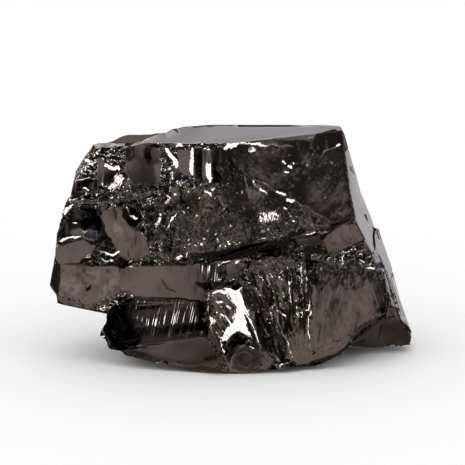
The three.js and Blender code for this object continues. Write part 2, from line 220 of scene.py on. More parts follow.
def creaseTree(piece):
    # points along the sharp edges, a fraction of a millimetre apart
    only(piece)
    bpy.ops.object.mode_set(mode="EDIT")
    bpy.ops.mesh.select_mode(type="EDGE")
    bpy.ops.mesh.select_all(action="DESELECT")
    bpy.ops.mesh.edges_select_sharp(sharpness=lumpMake["creaseAngle"])
    bpy.ops.object.mode_set(mode="OBJECT")
    points = pointsOf(piece)
    spots = []
    for edge in piece.data.edges:
        if edge.select:
            start, end = points[edge.vertices[0]], points[edge.vertices[1]]
            steps = max(2, int(np.linalg.norm(end - start) / lumpMake["cell"]) + 1)
            spots += [start + (end - start) * share for share in np.linspace(0, 1, steps)]
    tree = KDTree(len(spots))
    for index, spot in enumerate(spots):
        tree.insert(spot, index)
    tree.balance()
    return tree


def soften(name, weights, rounds):
    # smooths the lump, each point by its weight
    levels = lumpMake["softenLevels"]
    group = lump.vertex_groups.new(name=name)
    for level in range(1, levels + 1):
        chosen = np.flatnonzero(np.ceil(weights * levels) == level)
        if len(chosen):
            group.add(chosen.tolist(), level / levels, "REPLACE")
    applyModifier(
        lump, "SMOOTH", factor=lumpMake["softenFactor"], iterations=rounds, vertex_group=name
    )


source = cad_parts["shungite"]
lump = bpy.data.objects.new("shungite_lump", source.data.copy())
bpy.context.scene.collection.objects.link(lump)
only(lump)
bpy.ops.object.mode_set(mode="EDIT")
bpy.ops.mesh.select_all(action="SELECT")
bpy.ops.mesh.remove_doubles(threshold=lumpMake["mergeWithin"])
bpy.ops.object.mode_set(mode="OBJECT")
creases = creaseTree(lump)

widest = max(cadHigh - cadLow)
applyModifier(
    lump, "REMESH", mode="SHARP", octree_depth=lumpMake["treeDepth"], sharpness=1.0,
    scale=min(lumpMake["treeScale"], widest / (lumpMake["cell"] * 2 ** lumpMake["treeDepth"])),
)
away = np.array([creases.find(spot)[2] for spot in pointsOf(lump)])
soften("soften", smooth(away, *lumpMake["creaseKeep"]), lumpMake["softenRounds"])
print("dense copy:", len(lump.data.vertices), "points")

# Small moves of the outline: where, how far round it, and how far right and down.
nudges = {
    "leftCorner": ((94, 140), 14, (0, -2)),
    "blockFoot": ((52, 297), 12, (2.5, -1)),
    "scoopEnd": ((104, 333), 12, (-3, 2)),
    "scoopHeel": ((112, 346), 12, (-5, 4)),
}
topEdge = {"down": 6.0, "across": (84, 96, 352, 362), "above": (150, 185), "depths": (-70, 120)}
x, y, depth = toDrawing(pointsOf(lump))
for place, reach, (right, down) in nudges.values():
    pull = smooth(reach - np.hypot(x - place[0], y - place[1]), 0, reach) * (depth < drawing["reach"])
    x, y = x + right * pull, y + down * pull
left, leftFull, rightFull, right = topEdge["across"]
pull = smooth(x, left, leftFull) * fallOff(x, rightFull, right) * fallOff(y, *topEdge["above"])
nearDepth, farDepth = topEdge["depths"]
pull *= np.clip((farDepth - depth) / (farDepth - nearDepth), 0, 1)
y = y + topEdge["down"] * pull

# The roof at the left rises from its front edge over a fold to its crest.
roof = {
    # x: depth and height of the front edge, of the fold and of the crest
    "lines": {
        92: (-42, 147.0, -39, 145.0, -36, 144.6),
        98: (-44, 148.0, -37, 143.9, -32, 143.1),
        106: (-38, 148.2, -31, 143.7, -27, 142.4),
        112: (-37, 148.4, -29, 143.6, -24, 141.1),
        118: (-36, 148.2, -28, 143.5, -20, 137.2),
        122: (-36, 147.8, -28, 143.5, -19, 134.8),
        128: (-37, 146.6, -29, 143.4, -16, 133.8),
        134: (-43, 144.6, -36, 143.2, -14, 133.9),
        142: (-48, 143.0, -38, 141.6, -10, 134.2),
        150: (-49, 143.0, -30, 139.0, -6, 134.0),
        156: (-49, 143.0, -25, 138.4, 0, 132.6),
        167: (-49, 143.2, -20, 138.4, 15, 131.9),
        171: (-49, 143.4, -15, 137.0, 24, 128.4),
        184: (-49, 143.6, 0, 135.4, 45, 126.1),
        200: (-49, 143.8, 10, 134.4, 62, 124.9),
        214: (-49, 144.0, 15, 134.0, 75, 124.4),
    },
    "slack": (1, 3, 1),  # how far below, before and behind it a point may lie
    "fade": (190, 212),
    "meltedTo": 200,
}
roofX = list(roof["lines"])
edgeDepth, edgeY, foldDepth, foldY, crestDepth, crestY = (
    np.interp(x, roofX, [row[column] for row in roof["lines"].values()]) for column in range(6)
)
share = np.clip((depth - edgeDepth) / (foldDepth - edgeDepth), 0, 1)
rise = np.clip((depth - foldDepth) / (crestDepth - foldDepth), 0, 1)
wanted = edgeY + (foldY - edgeY) * share + (crestY - foldY) * rise
below, before, behind = roof["slack"]
onRoof = within(x, (roofX[0], roofX[-1])) & (y < edgeY + below)
onRoof &= (depth > edgeDepth - before) & (depth < crestDepth + behind)
pull = onRoof * fallOff(x, *roof["fade"])
y = y + (wanted - y) * pull

# The flank starts at its crease and runs steeply back.
flank = {
    "crease": [(340, 120), (342, 132), (345, 165), (348.5, 190), (354, 214), (364, 239), (371, 251),
               (377, 264), (385, 277), (387.5, 290), (392, 305), (397, 318), (404, 331)],
    "span": (118, 331),
    "fit": {"span": (132, 331), "width": 3, "look": 0.3, "order": 4},
    "steep": 5.5,
    "deepest": 58,
    "fade": (312, 331),
    "notch": {"left": 0.5, "span": (204, 276), "look": -0.6, "behind": 42, "deepest": 96},
    "quietWidth": 2,
}


def creaseAt(y):
    return np.interp(y, [spot[1] for spot in flank["crease"]], [spot[0] for spot in flank["crease"]])


fit, nick = flank["fit"], flank["notch"]
lookOut = normalsOf(lump) @ towardWay
creaseX = creaseAt(y)
beside = (lookOut > fit["look"]) & (abs(x - creaseX) < fit["width"]) & within(y, fit["span"])
creaseDepth = np.polynomial.Polynomial.fit(y[beside], depth[beside], fit["order"])(y)
outside = (x > creaseX) & within(y, flank["span"])
plane = np.minimum(creaseDepth + flank["steep"] * (x - creaseX), flank["deepest"])
depth += (np.maximum(depth, plane) - depth) * (fallOff(y, *flank["fade"]) * outside)
notch = (x > creaseX - nick["left"]) & within(y, nick["span"]) & (lookOut > nick["look"])
notch &= (depth < plane + nick["behind"]) & (depth < nick["deepest"])
depth[notch] = plane[notch]
points = fromDrawing(x, y, depth)
setPoints(lump, points)
melted = notch | (onRoof & (x < roof["meltedTo"]))

# Chips for the sides that the drawing doesn't cover, in metres and in units of the drawing.
relief = {
    "chips": [(0.0062, 0.0013, 51), (0.0031, 0.0008, 52), (0.0014, 0.00028, 53)],  # size, depth, seed
    "quiet": 0.1,
    "melted": 0.2,
    "turned": (0.2, 0.42),
    "behind": (-10, 35),
    "crest": {"left": (150, 160), "right": (340, 350), "above": (130, 140)},
}
calmWays = {"right": (0.3, 0.6), "back": (0.05, 0.45), "up": (0.5, 0.8)}


def calmSides(normals):
    # 1 on the top and on the right flank, which broke cleanly
    flankLike = smooth(normals[:, 0], *calmWays["right"]) * fallOff(normals[:, 1], *calmWays["back"])
    return np.maximum(smooth(normals[:, 2], *calmWays["up"]), flankLike)


normals = normalsOf(lump)
lookOut = normals @ towardWay
sideways = 1 - smooth(lookOut, *relief["turned"])
quiet = calmSides(normals)
crest = relief["crest"]
chips = sum(scales(points / size, seed) * chipDepth for size, chipDepth, seed in relief["chips"])
strength = sideways * (1 - quiet * (1 - relief["quiet"])) * smooth(depth, *relief["behind"])
strength *= 1 - smooth(x, *crest["left"]) * fallOff(x, *crest["right"]) * fallOff(y, *crest["above"])
strength[melted | ((x > creaseX - flank["quietWidth"]) & within(y, flank["span"]))] *= relief["melted"]
points += normals * (chips * strength)[:, None]
points[:, 2] = np.maximum(points[:, 2], 0)
setPoints(lump, points)
print("sides chipped")


# The front is worked on as a height over the drawing.
def signedDistance(outline, px, py):
    # distance to the outline, negative inside it
    nearest = np.full(len(px), np.inf)
    inside = np.zeros(len(px), bool)
    for (ax, ay), (bx, by) in zip(outline, outline[1:] + outline[:1]):
        sideX, sideY = bx - ax, by - ay
        share = ((px - ax) * sideX + (py - ay) * sideY) / (sideX**2 + sideY**2)
        share = np.clip(share, 0, 1)
        gap = np.hypot(px - ax - share * sideX, py - ay - share * sideY)
        nearest = np.minimum(nearest, gap)
        if ay != by:
            crosses = (ay > py) != (by > py)
            inside ^= crosses & (px < (bx - ax) * (py - ay) / (by - ay) + ax)
    return np.where(inside, -nearest, nearest)


def lineDistance(line, px, py):
    # distance to a line of points, and how far along it the nearest place is
    nearest = np.full(len(px), np.inf)
    along = np.zeros(len(px))
    lengths = [math.dist(start, end) for start, end in zip(line, line[1:])]
    whole, before = sum(lengths), 0
    for (ax, ay), (bx, by), length in zip(line, line[1:], lengths):
        share = np.clip(((px - ax) * (bx - ax) + (py - ay) * (by - ay)) / length**2, 0, 1)
        gap = np.hypot(px - ax - share * (bx - ax), py - ay - share * (by - ay))
        closer = gap < nearest
        nearest[closer] = gap[closer]
        along[closer] = (before + share[closer] * length) / whole
        before += length
    return nearest, along


def around(spots, reach):
    # the front's points within reach of these spots
    xs, ys = [spot[0] for spot in spots], [spot[1] for spot in spots]
    wide = (frontX > min(xs) - reach) & (frontX < max(xs) + reach)
    return np.flatnonzero(wide & (frontY > min(ys) - reach) & (frontY < max(ys) + reach))


def maskOf(outline, feather):
    # the front's points in an outline, and how fully each is in it
    near = around(outline, feather)
    gap = signedDistance(outline, frontX[near], frontY[near])
    return near, smooth(-gap, -feather / 2, feather / 2)


facetMake = {"reach": 14, "wall": 0.8, "flare": 0.025}


def cutFacet(outline, face, lift, wall, curve=(0, 0)):
    # a flat or curved face that leans by face, right and up, with short walls round it
    near = around(outline, facetMake["reach"])
    gap = signedDistance(outline, frontX[near], frontY[near])
    held = near[gap < 0]
    if not len(held):
        return
    xs, ys = [spot[0] for spot in outline], [spot[1] for spot in outline]
    middleX, middleY = (min(xs) + max(xs)) / 2, (min(ys) + max(ys)) / 2

    def plane(index):
        right, up = frontX[index] - middleX, middleY - frontY[index]
        return face[0] * right + face[1] * up + curve[0] * right**2 / 2 + curve[1] * up**2 / 2

    level = np.median(frontDepth[held] - plane(held)) + lift
    wanted = plane(near) + level
    slack = np.maximum(gap, 0) * wall + np.maximum(gap, 0) ** 3 * facetMake["flare"]
    frontDepth[near] = np.clip(frontDepth[near], wanted - slack, wanted + slack)


def cutBowl(middle, size, turn, hollow):
    # a shallow bowl, size across and along, its long way turned clockwise from upright
    near = around([middle], max(size))
    across, along = turned(frontX[near] - middle[0], middle[1] - frontY[near], turn)
    across, along = across / (size[0] / 2), along / (size[1] / 2)
    frontDepth[near] += np.maximum(0, 1 - across**2 - along**2) * hollow


grooveEnds = 0.15


def cutLine(line, width, groove):
    # a groove that fades at both ends
    near = around(line, width)
    gap, along = lineDistance(line, frontX[near], frontY[near])
    fade = smooth(along, 0, grooveEnds) * smooth(1 - along, 0, grooveEnds)
    frontDepth[near] += groove * np.maximum(0, 1 - gap / (width / 2)) * fade


grainy = []


def roughen(outline, feather, size, amount, seed, grain=1.0, stretch=1.0):
    # chips of one size, in a place that the finish makes grainy as well
    grainy.append((outline, feather, grain))
    near, mask = maskOf(outline, feather)
    places = np.stack([frontX[near], -frontY[near] / stretch], 1)
    frontDepth[near] += amount * scales(places / size, seed) * mask


settleMake = {"feather": 4.0, "middle": (230, 250), "unit": 100}


def settle(outline, keep, order):
    # pulls a part of the front to one smooth surface, keeping a share of what stood on it
    feather, unit = settleMake["feather"], settleMake["unit"]
    near = around(outline, feather)
    gap = signedDistance(outline, frontX[near], frontY[near])
    right = (frontX[near] - settleMake["middle"][0]) / unit
    up = (frontY[near] - settleMake["middle"][1]) / unit
    powers = [(i, j) for i in range(order + 1) for j in range(order + 1 - i)]
    terms = np.stack([right**i * up**j for i, j in powers], 1)
    held = gap < 0
    weights = np.linalg.lstsq(terms[held], frontDepth[near][held], rcond=None)[0]
    pull = smooth(-gap, -feather / 2, feather / 2) * (1 - keep)
    frontDepth[near] += (terms @ weights - frontDepth[near]) * pull


def wavy(outline, feather, size, amount, seed, turn=0.0, stretch=1.0):
    # soft swells
    near, mask = maskOf(outline, feather)
    across, along = turned(frontX[near], -frontY[near], turn)
    pattern = waves(np.stack([across, along / stretch], 1) / size, seed)
    frontDepth[near] += amount * pattern * mask


rayUnit = 100  # rays have their full gap this far from their centre


def rayWavy(outline, feather, centre, gap, amount, seed, stretch):
    # ridges that spread from a centre
    near, mask = maskOf(outline, feather)
    right, up = frontX[near] - centre[0], centre[1] - frontY[near]
    turn = np.arctan2(right, up) * rayUnit / gap
    along = np.hypot(right, up) / (gap * stretch)
    frontDepth[near] += amount * waves(np.stack([turn, along], 1), seed) * mask


rippleEven = 0.6


def ripple(centre, inner, outer, gap, amount, seed):
    # rings round a centre, some clearer than others
    near = around([centre], outer)
    away = np.hypot(frontX[near] - centre[0], frontY[near] - centre[1])
    mask = smooth(away, inner, inner + gap) * smooth(outer - away, 0, gap * 2)
    places = np.stack([frontX[near], frontY[near]], 1) / (gap * 3)
    patchy = rippleEven + (1 - rippleEven) * waves(places, seed)
    frontDepth[near] += amount * np.sin(away * 2 * math.pi / gap) * mask * patchy


def pickSpots(outline, count, numbers):
    # random places inside an outline
    low, high = np.min(outline, 0), np.max(outline, 0)
    spots = []
    while len(spots) < count:
        tries = low + (high - low) * numbers.random((count * 2, 2))
        spots += list(tries[signedDistance(outline, tries[:, 0], tries[:, 1]) < 0])
    return spots[:count]


def pickShape(spot, size, stretch, numbers):
    # a small random polygon, longer one way
    turn, radius = numbers.uniform(0, math.pi), numbers.uniform(*size) / 2
    corners = np.sort(numbers.uniform(0, 2 * math.pi, numbers.integers(3, 6)))
    right, up = np.cos(corners) * radius * stretch, np.sin(corners) * radius
    xs = spot[0] + right * math.cos(turn) - up * math.sin(turn)
    ys = spot[1] + right * math.sin(turn) + up * math.cos(turn)
    return list(zip(xs, ys))


faceMake = {"shift": 0.06, "middle": (0.1, 0.0)}


def pickFace(numbers, brightShare, spread):
    # a lean that shines, or any other
    shift = faceMake["shift"]
    if numbers.random() < brightShare:
        return bright[0] + numbers.uniform(-shift, shift), bright[1] + numbers.uniform(-shift, shift)
    return tuple(numbers.normal(0, spread, 2) + faceMake["middle"])


shardMake = {"spread": 0.45, "stretch": 1.6, "lift": 0.5, "wall": 1.8}


def scatterShards(outline, count, size, seed, brightShare):
    # small flat splinters with sharp sides
    numbers = np.random.default_rng(seed)
    for spot in pickSpots(outline, count, numbers):
        shape = pickShape(spot, size, shardMake["stretch"], numbers)
        face = pickFace(numbers, brightShare, shardMake["spread"])
        cutFacet(shape, face, numbers.uniform(0, shardMake["lift"]), shardMake["wall"])


strokeMake = {"sway": 4, "taper": 0.2, "spread": 0.4, "lift": 0.2, "wall": 1.6}


def scatterStrokes(outline, count, length, width, seed, centre, brightShare):
    # long thin splinters that spread from a centre
    numbers = np.random.default_rng(seed)
    sway = strokeMake["sway"]
    for spot in pickSpots(outline, count, numbers):
        angle = math.radians(numbers.uniform(-sway, sway))
        angle += math.atan2(spot[0] - centre[0], centre[1] - spot[1])
        along = np.array((math.sin(angle), -math.cos(angle))) * numbers.uniform(*length) / 2
        across = np.array((math.cos(angle), math.sin(angle))) * numbers.uniform(*width) / 2
        taper = along * strokeMake["taper"]
        shape = [spot - along, spot + across - taper, spot + along, spot - across + taper]
        face = pickFace(numbers, brightShare, strokeMake["spread"])
        cutFacet([tuple(corner) for corner in shape], face, strokeMake["lift"], strokeMake["wall"])


fleckMake = {"corners": (0, 2.1, 4.2), "brightShare": 0.75, "spread": 0.4, "lift": 0.2, "wall": 1.8}


def scatterFlecks(line, count, spread, size, seed):
    # tiny bright chips along a line
    numbers = np.random.default_rng(seed)
    steps = np.linspace(0, 1, len(line))
    for share in numbers.random(count):
        spot = [
            np.interp(share, steps, [place[axis] for place in line]) + numbers.normal(0, spread)
            for axis in (0, 1)
        ]
        radius = numbers.uniform(*size) / 2
        corners = numbers.uniform(0, 2, 3) + fleckMake["corners"]
        shape = [
            (spot[0] + math.cos(corner) * radius, spot[1] + math.sin(corner) * radius)
            for corner in corners
        ]
        face = pickFace(numbers, fleckMake["brightShare"], fleckMake["spread"])
        cutFacet(shape, face, fleckMake["lift"], fleckMake["wall"])


# Each zone of the front: its outline, and how much of the rough shape it keeps.
zones = {
    "darkFace": [
        (231, 152), (250, 146), (300, 140), (338, 134), (343, 155), (348, 190), (355, 217),
        (333, 224), (316, 213), (296, 201), (272, 187), (252, 177), (238, 166),
    ],
    "granular": [
        (186, 196), (200, 186), (214, 170), (226, 160), (236, 168), (252, 180), (272, 190),
        (296, 204), (316, 216), (330, 227), (293, 238), (250, 246), (188, 254), (152, 258),
        (150, 236), (160, 214), (165, 200),
    ],
    "leftMiddle": [
        (66, 205), (116, 204), (156, 196), (160, 214), (150, 236), (150, 258), (98, 262),
        (98, 240), (84, 236), (60, 243), (57, 232), (60, 216),
    ],
    "upperLeft": [
        (88, 152), (98, 150), (124, 149), (155, 149), (192, 148), (226, 148), (232, 160),
        (212, 172), (198, 186), (156, 191), (116, 196), (76, 197), (74, 178), (84, 160),
    ],
    "band": [(122, 266), (208, 266), (216, 290), (209, 301), (177, 297), (132, 297), (122, 296)],
    "leftBlock": [(61, 264), (118, 266), (120, 294), (100, 306), (84, 306), (60, 298)],
    "scoop": [
        (112, 309), (127, 299), (177, 299), (208, 304), (208, 336), (176, 342), (150, 345),
        (116, 345), (106, 330),
    ],
    "belly": [
        (118, 347), (150, 347), (177, 344), (216, 338), (224, 356), (226, 371), (190, 367),
        (150, 360), (122, 352),
    ],
    "fanLeft": [
        (262, 268), (300, 262), (316, 262), (316, 300), (312, 356), (290, 360), (262, 364),
        (256, 345), (262, 318), (254, 290),
    ],
    "fanRight": [
        (312, 264), (376, 266), (385, 290), (383, 315), (366, 327), (344, 346), (318, 356),
        (308, 356), (310, 310),
    ],
}
keepShares = {
    "darkFace": 0.03, "granular": 0.2, "leftMiddle": 0.1, "upperLeft": 0.1, "band": 0.0,
    "leftBlock": 0.0, "scoop": 0.15, "belly": 0.1, "fanLeft": 0.1, "fanRight": 0.05,
}
bentZones = ("granular", "scoop")
frontPick = {"inside": 1, "look": 0.42, "leastLook": -0.15, "caughtDepth": 30, "pastCrease": 1.5}
x, y, depth = toDrawing(pointsOf(lump))
lookOut = normalsOf(lump) @ towardWay
caught = np.min([signedDistance(outline, x, y) for outline in zones.values()], 0) < -frontPick["inside"]
caught &= (lookOut > frontPick["leastLook"]) & (depth < frontPick["caughtDepth"])
beyond = (x > creaseX + frontPick["pastCrease"]) & within(y, flank["span"])
facing = (lookOut > frontPick["look"]) | caught
front = np.flatnonzero(facing & ~beyond & (depth < drawing["reach"]))
print("front points:", len(front))
frontX, frontY = x[front], y[front]
frontDepth = depth[front].copy()
for name, outline in zones.items():
    settle(outline, keepShares[name], 3 if name in bentZones else 2)

# How far a face leans right and up to mirror the key panel, the front wall or the dark.
bright = (-0.47, 0.21)
glow = (-0.37, 0.13)
brown = (0.05, -0.06)
warm = (0.18, 0.0)
mid = (0.28, 0.03)
dim = (0.36, 0.05)
deep = (0.44, 0.08)
black = (0.8, 0.25)
shade = (0.0, 0.30)
leftBlack = (-0.85, -0.2)
violet = (0.05, 0.66)

cuts = {
    # outline, how far the face leans right and up, and perhaps how it curves
    "panel": (
        [(124, 150), (156, 149), (158, 170), (162, 187), (140, 194), (124, 190), (121, 170)],
        (0.2, 0.05), (0.004, 0.004),
    ),
    "edgeStrip": ([(97, 153), (104, 153), (105, 168), (101, 188), (95, 186), (97, 168)], (0.1, -0.05)),
    "patchHigh": ([(104, 164), (117, 162), (119, 169), (110, 171)], (-0.3, 0.15)),
    "patchLow": ([(119, 174), (125, 178), (114, 190), (108, 188)], (-0.3, 0.15)),
    "smallPanel": ([(177, 153), (189, 150), (190, 176), (183, 175), (180, 165)], (0.08, -0.05)),
    "fluteDark": ([(194.5, 148), (202, 148), (204, 180), (198, 182), (194, 176)], (0.5, 0.0)),
    "fluteGrey": ([(202, 148), (209, 149), (211, 182), (204, 181)], (-0.3, 0.0)),
    "fluteBrown": (
        [(211, 150), (221, 148), (222, 163), (215, 178), (211, 170)],
        (0.25, -0.1), (0.02, 0),
    ),
    "fluteBlack": (
        [(221, 147), (228, 150), (232, 170), (232, 186), (225, 182), (221, 166)],
        (0.4, 0.1), (0.02, 0),
    ),
    "cornerBlack": ([(321, 152), (341, 145), (342, 134), (319, 138)], (0.3, 0.3)),
    "crackFace": ([(182, 191), (195, 190), (196, 196), (186, 199)], brown),
    "under": (
        [(187, 254), (220, 249), (287, 238), (292, 239), (272, 245), (225, 256), (190, 262)],
        (0.1, -0.9),
    ),
    "faceLeft": (
        [(100, 206), (114, 205), (113, 225), (120, 246), (127, 263), (112, 244), (102, 219)],
        (0.1, -0.04),
    ),
    "faceRight": (
        [(115, 207), (123, 215), (134, 231), (140, 231), (149, 245), (150, 260), (127, 260),
         (120, 245), (124, 229)],
        (0.12, -0.06),
    ),
    "violet": ([(68, 221), (97, 222), (98, 241), (82, 240), (69, 234)], (0.1, 0.4)),
    "lowFacet": ([(58, 246), (84, 240), (96, 245), (91, 252), (76, 262), (56, 262)], (0.02, -0.06)),
    "band": (
        [(121, 266), (204, 266), (212, 288), (208, 300), (177, 297), (132, 297), (121, 296)],
        (0.05, -0.04),
    ),
    "blockLeft": ([(61, 266), (81, 267), (84, 292), (64, 299), (60, 290)], (0.0, -0.04)),
    "blockRight": ([(81, 267), (119, 267), (120, 291), (100, 304), (84, 294)], (0.05, -0.04)),
    "arm": (
        [(222, 289), (234, 287), (241, 300), (247, 314), (251, 327), (250, 337), (240, 331),
         (233, 321), (229, 308), (226, 298)],
        (-0.35, 0.15),
    ),
    "spear": ([(244, 315), (248, 319), (257, 335), (259, 345), (254, 342), (247, 331)], (0.4, 0.1)),
    "panelFace": (
        [(321, 241), (335, 229), (356, 223), (365, 239), (335, 253), (323, 247)],
        (0.1, -0.06), (0, -0.01),
    ),
    "panelSide": ([(295, 239), (319, 237), (321, 243), (315, 246), (301, 245)], (0.14, -0.1)),
    "footFace": ([(345, 349), (362, 330), (384, 317), (400, 317), (411, 336), (409, 351)], (0.2, -0.2)),
    "lip": ([(297, 365), (318, 358), (334, 353), (345, 347), (338, 361), (312, 367)], (0.1, -0.5)),
}
for outline, face, *curve in cuts.values():
    cutFacet(outline, face, 0, facetMake["wall"], *curve)

bowls = {
    # middle, size, turn, depth
    "edgeScoop": ((86, 184), (20, 15), 70, 4.0),
    "panelHollow": ((129, 153), (7, 14), 0, 2.0),
    "panelOval": ((148, 155), (8, 17), 0, 2.5),
    "pit": ((174, 149), (6, 6), 0, 2.5),
    "darkGlow": ((258, 162), (52, 26), 80, 2.0),
    "spinePit": ((295, 206), (9, 15), 70, 4.0),
    "glossy": ((133, 217), (21, 24), 20, 6.0),
    "scoopLeft": ((122, 322), (40, 36), 70, 5.0),
    "feathered": ((238, 345), (22, 26), 30, 4.0),
    "ringHollow": ((248, 358), (26, 22), 0, 3.0),
    "flankPit": ((385, 303), (11, 20), 0, 4.0),
}
for middle, size, turn, hollow in bowls.values():
    cutBowl(middle, size, turn, hollow)

roughPlaces = {
    # outline, feather, size, depth, seed, and perhaps how grainy and how stretched
    "granular": (zones["granular"], 8, 9, 1.8, 11, 0.6),
    "granularFine": (zones["granular"], 8, 4.0, 0.8, 12, 0.65),
    "column": (
        [(159, 146), (168, 146), (172, 166), (170, 188), (160, 186), (161, 168)],
        3, 4.5, 2.0, 13,
    ),
    "brow": ([(98, 148), (122, 148), (124, 162), (110, 163), (100, 158)], 4, 4.5, 1.8, 14),
    "edge": ([(78, 158), (96, 150), (97, 180), (76, 176)], 5, 5, 1.4, 15, 0.7),
    "shelf": ([(108, 187), (200, 178), (228, 186), (200, 196), (156, 194), (110, 198)], 4, 5, 1.8, 16),
    "underShelf": (
        [(66, 203), (110, 202), (158, 194), (162, 206), (120, 210), (70, 214)],
        5, 4.5, 1.5, 17,
    ),
    "cheek": ([(92, 236), (112, 244), (124, 262), (80, 268), (84, 256), (98, 246)], 5, 4.5, 1.6, 18),
    "besideGlossy": (
        [(140, 200), (162, 196), (170, 230), (152, 262), (146, 250), (146, 236)],
        6, 4.5, 1.6, 19, 0.8,
    ),
    "bandTop": ([(120, 258), (200, 254), (208, 264), (120, 265)], 3, 3.5, 1.2, 20),
    "cluster": ([(279, 158), (294, 159), (297, 176), (284, 178)], 6, 3.6, 0.9, 21, 0.5),
    "fanLeft": (zones["fanLeft"], 8, 7, 1.2, 22, 0.35, 2.5),
    "fanTop": (
        [(236, 262), (300, 254), (378, 250), (384, 268), (300, 278), (240, 284)],
        8, 5, 1.4, 23, 0.7,
    ),
    "patchEdge": (
        [(205, 288), (214, 288), (216, 330), (226, 352), (230, 374), (220, 374), (206, 320)],
        3, 4.5, 1.6, 24,
    ),
    "blockFoot": ([(98, 302), (120, 290), (132, 292), (112, 304), (84, 312)], 4, 4.5, 1.8, 25),
}
for place in roughPlaces.values():
    roughen(*place)

fanCentre = (306, 420)
fanRays = {
    # outline, feather, centre, gap, height, seed, stretch
    "left": (zones["fanLeft"], 8, fanCentre, 5, 1.3, 31, 6),
    "right": (zones["fanRight"], 8, fanCentre, 4, 0.35, 32, 9),
}
for rays in fanRays.values():
    rayWavy(*rays)
swells = {
    # outline, feather, size, height, seed, turn, stretch
    "face": (zones["darkFace"], 8, 22, 1.2, 41, 0, 1),
    "faceFine": (zones["darkFace"], 8, 7, 0.2, 42, -40, 3),
}
for swell in swells.values():
    wavy(*swell)
rings = {
    # centre, inner and outer reach, gap, height, seed
    "face": ((318, 182), 6, 26, 4.5, 0.12, 43),
    "patchFoot": ((248, 358), 2, 14, 4, 0.25, 44),
}
for ring in rings.values():
    ripple(*ring)

shards = {
    # outline, how many, size, seed, share that shines
    "edge": ([(78, 158), (96, 150), (97, 178), (76, 178)], 22, (3, 8), 101, 0.15),
    "brow": ([(98, 149), (123, 148), (124, 163), (108, 163)], 26, (2, 6), 102, 0.18),
    "shelf": (
        [(98, 190), (126, 192), (160, 190), (200, 180), (214, 172), (232, 186), (204, 198),
         (166, 192), (116, 199), (76, 198)],
        60, (2.5, 6), 103, 0.12,
    ),
    "column": (
        [(160, 146), (167, 146), (171, 166), (169, 186), (161, 186), (161, 168)],
        26, (2, 5), 104, 0.2,
    ),
    "underShelf": (
        [(66, 204), (116, 203), (158, 193), (170, 200), (160, 214), (146, 206), (124, 206),
         (100, 206), (84, 214), (66, 212)],
        40, (2.5, 6), 105, 0.14,
    ),
    "cheek": (
        [(96, 240), (112, 244), (124, 262), (98, 264), (92, 252), (98, 246)],
        30, (3, 7), 106, 0.15,
    ),
    "besideGlossy": (
        [(144, 205), (164, 200), (172, 214), (156, 236), (150, 260), (148, 236), (147, 222)],
        40, (3, 8), 107, 0.12,
    ),
    "granular": (zones["granular"], 190, (2.5, 8), 108, 0.06),
    "underPanel": (
        [(300, 250), (374, 246), (384, 262), (380, 274), (300, 268)],
        70, (2.5, 7), 109, 0.12,
    ),
    "curtain": ([(222, 268), (290, 256), (300, 268), (262, 282), (224, 286)], 30, (4, 10), 110, 0.06),
    "corner": ([(98, 300), (122, 290), (128, 296), (110, 306), (84, 310)], 24, (2, 6), 111, 0.18),
}
for outline, count, size, seed, brightShare in shards.values():
    scatterShards(outline, count, size, seed, brightShare)

strokes = {
    # outline, how many, length, width, seed, share that shines
    "fanLeft": (zones["fanLeft"], 70, (12, 40), (2, 5), 121, 0.1),
    "fanHigh": (
        [(300, 262), (376, 262), (384, 284), (340, 300), (300, 300)],
        16, (8, 20), (2, 4), 122, 0.08,
    ),
}
for outline, count, length, width, seed, brightShare in strokes.values():
    scatterStrokes(outline, count, length, width, seed, fanCentre, brightShare)

lines = {
    # line, width, depth
    "star": ([(181, 188), (182, 206)], 4, 2.0),
    "starLeg": ([(182, 198), (193, 216)], 3, 1.5),
    "faceCrack": ([(134, 230), (135, 246)], 2, 0.8),
    "bandCrack": ([(159, 279), (178, 294)], 1.8, 0.6),
    "ledge": ([(70, 202), (110, 200), (164, 192)], 5, 1.5),
    "flankNotch": ([(375, 228), (372, 246)], 4, 5.0),
    "flankLine": ([(380, 263), (388, 284), (395, 306)], 2.4, 2.0),
}
for line, width, groove in lines.values():
    cutLine(line, width, groove)

flecks = {
    # line, how many, how far off it, size, seed
    "bandTop": ([(98, 262), (120, 263), (150, 263), (208, 261)], 50, 1.6, (1.5, 3.5), 141),
    "spine": ([(243, 173), (272, 188), (296, 203), (331, 226)], 50, 2.0, (1.5, 3), 142),
    "serrated": ([(58, 243), (70, 238), (82, 235)], 26, 1.6, (2, 5), 143),
    "patchEdge": (
        [(209, 290), (212, 318), (220, 342), (226, 356), (229, 374)],
        44, 2.0, (1.5, 3.5), 144,
    ),
    "blockFoot": ([(84, 309), (104, 303), (128, 292)], 34, 2.5, (1.5, 4), 145),
    "underEdge": ([(206, 256), (262, 246), (292, 240)], 14, 1.5, (1.5, 2.5), 146),
    "besidePanel": ([(340, 254), (356, 253), (376, 248)], 26, 3.0, (2, 5), 147),
    "flankEdge": ([(342, 140), (347, 180), (355, 216)], 20, 1.2, (1.5, 2.5), 148),
    "footEdge": ([(398, 318), (408, 336), (411, 350)], 16, 1.5, (1.5, 3), 149),
    "browEdge": ([(98, 151), (124, 151), (160, 149), (224, 148)], 36, 1.0, (1.5, 3), 150),
    "leftEdge": ([(92, 150), (76, 178), (73, 196), (60, 218), (57, 244)], 40, 2.0, (2, 4.5), 151),
}
for line, count, spread, size, seed in flecks.values():
    scatterFlecks(line, count, spread, size, seed)

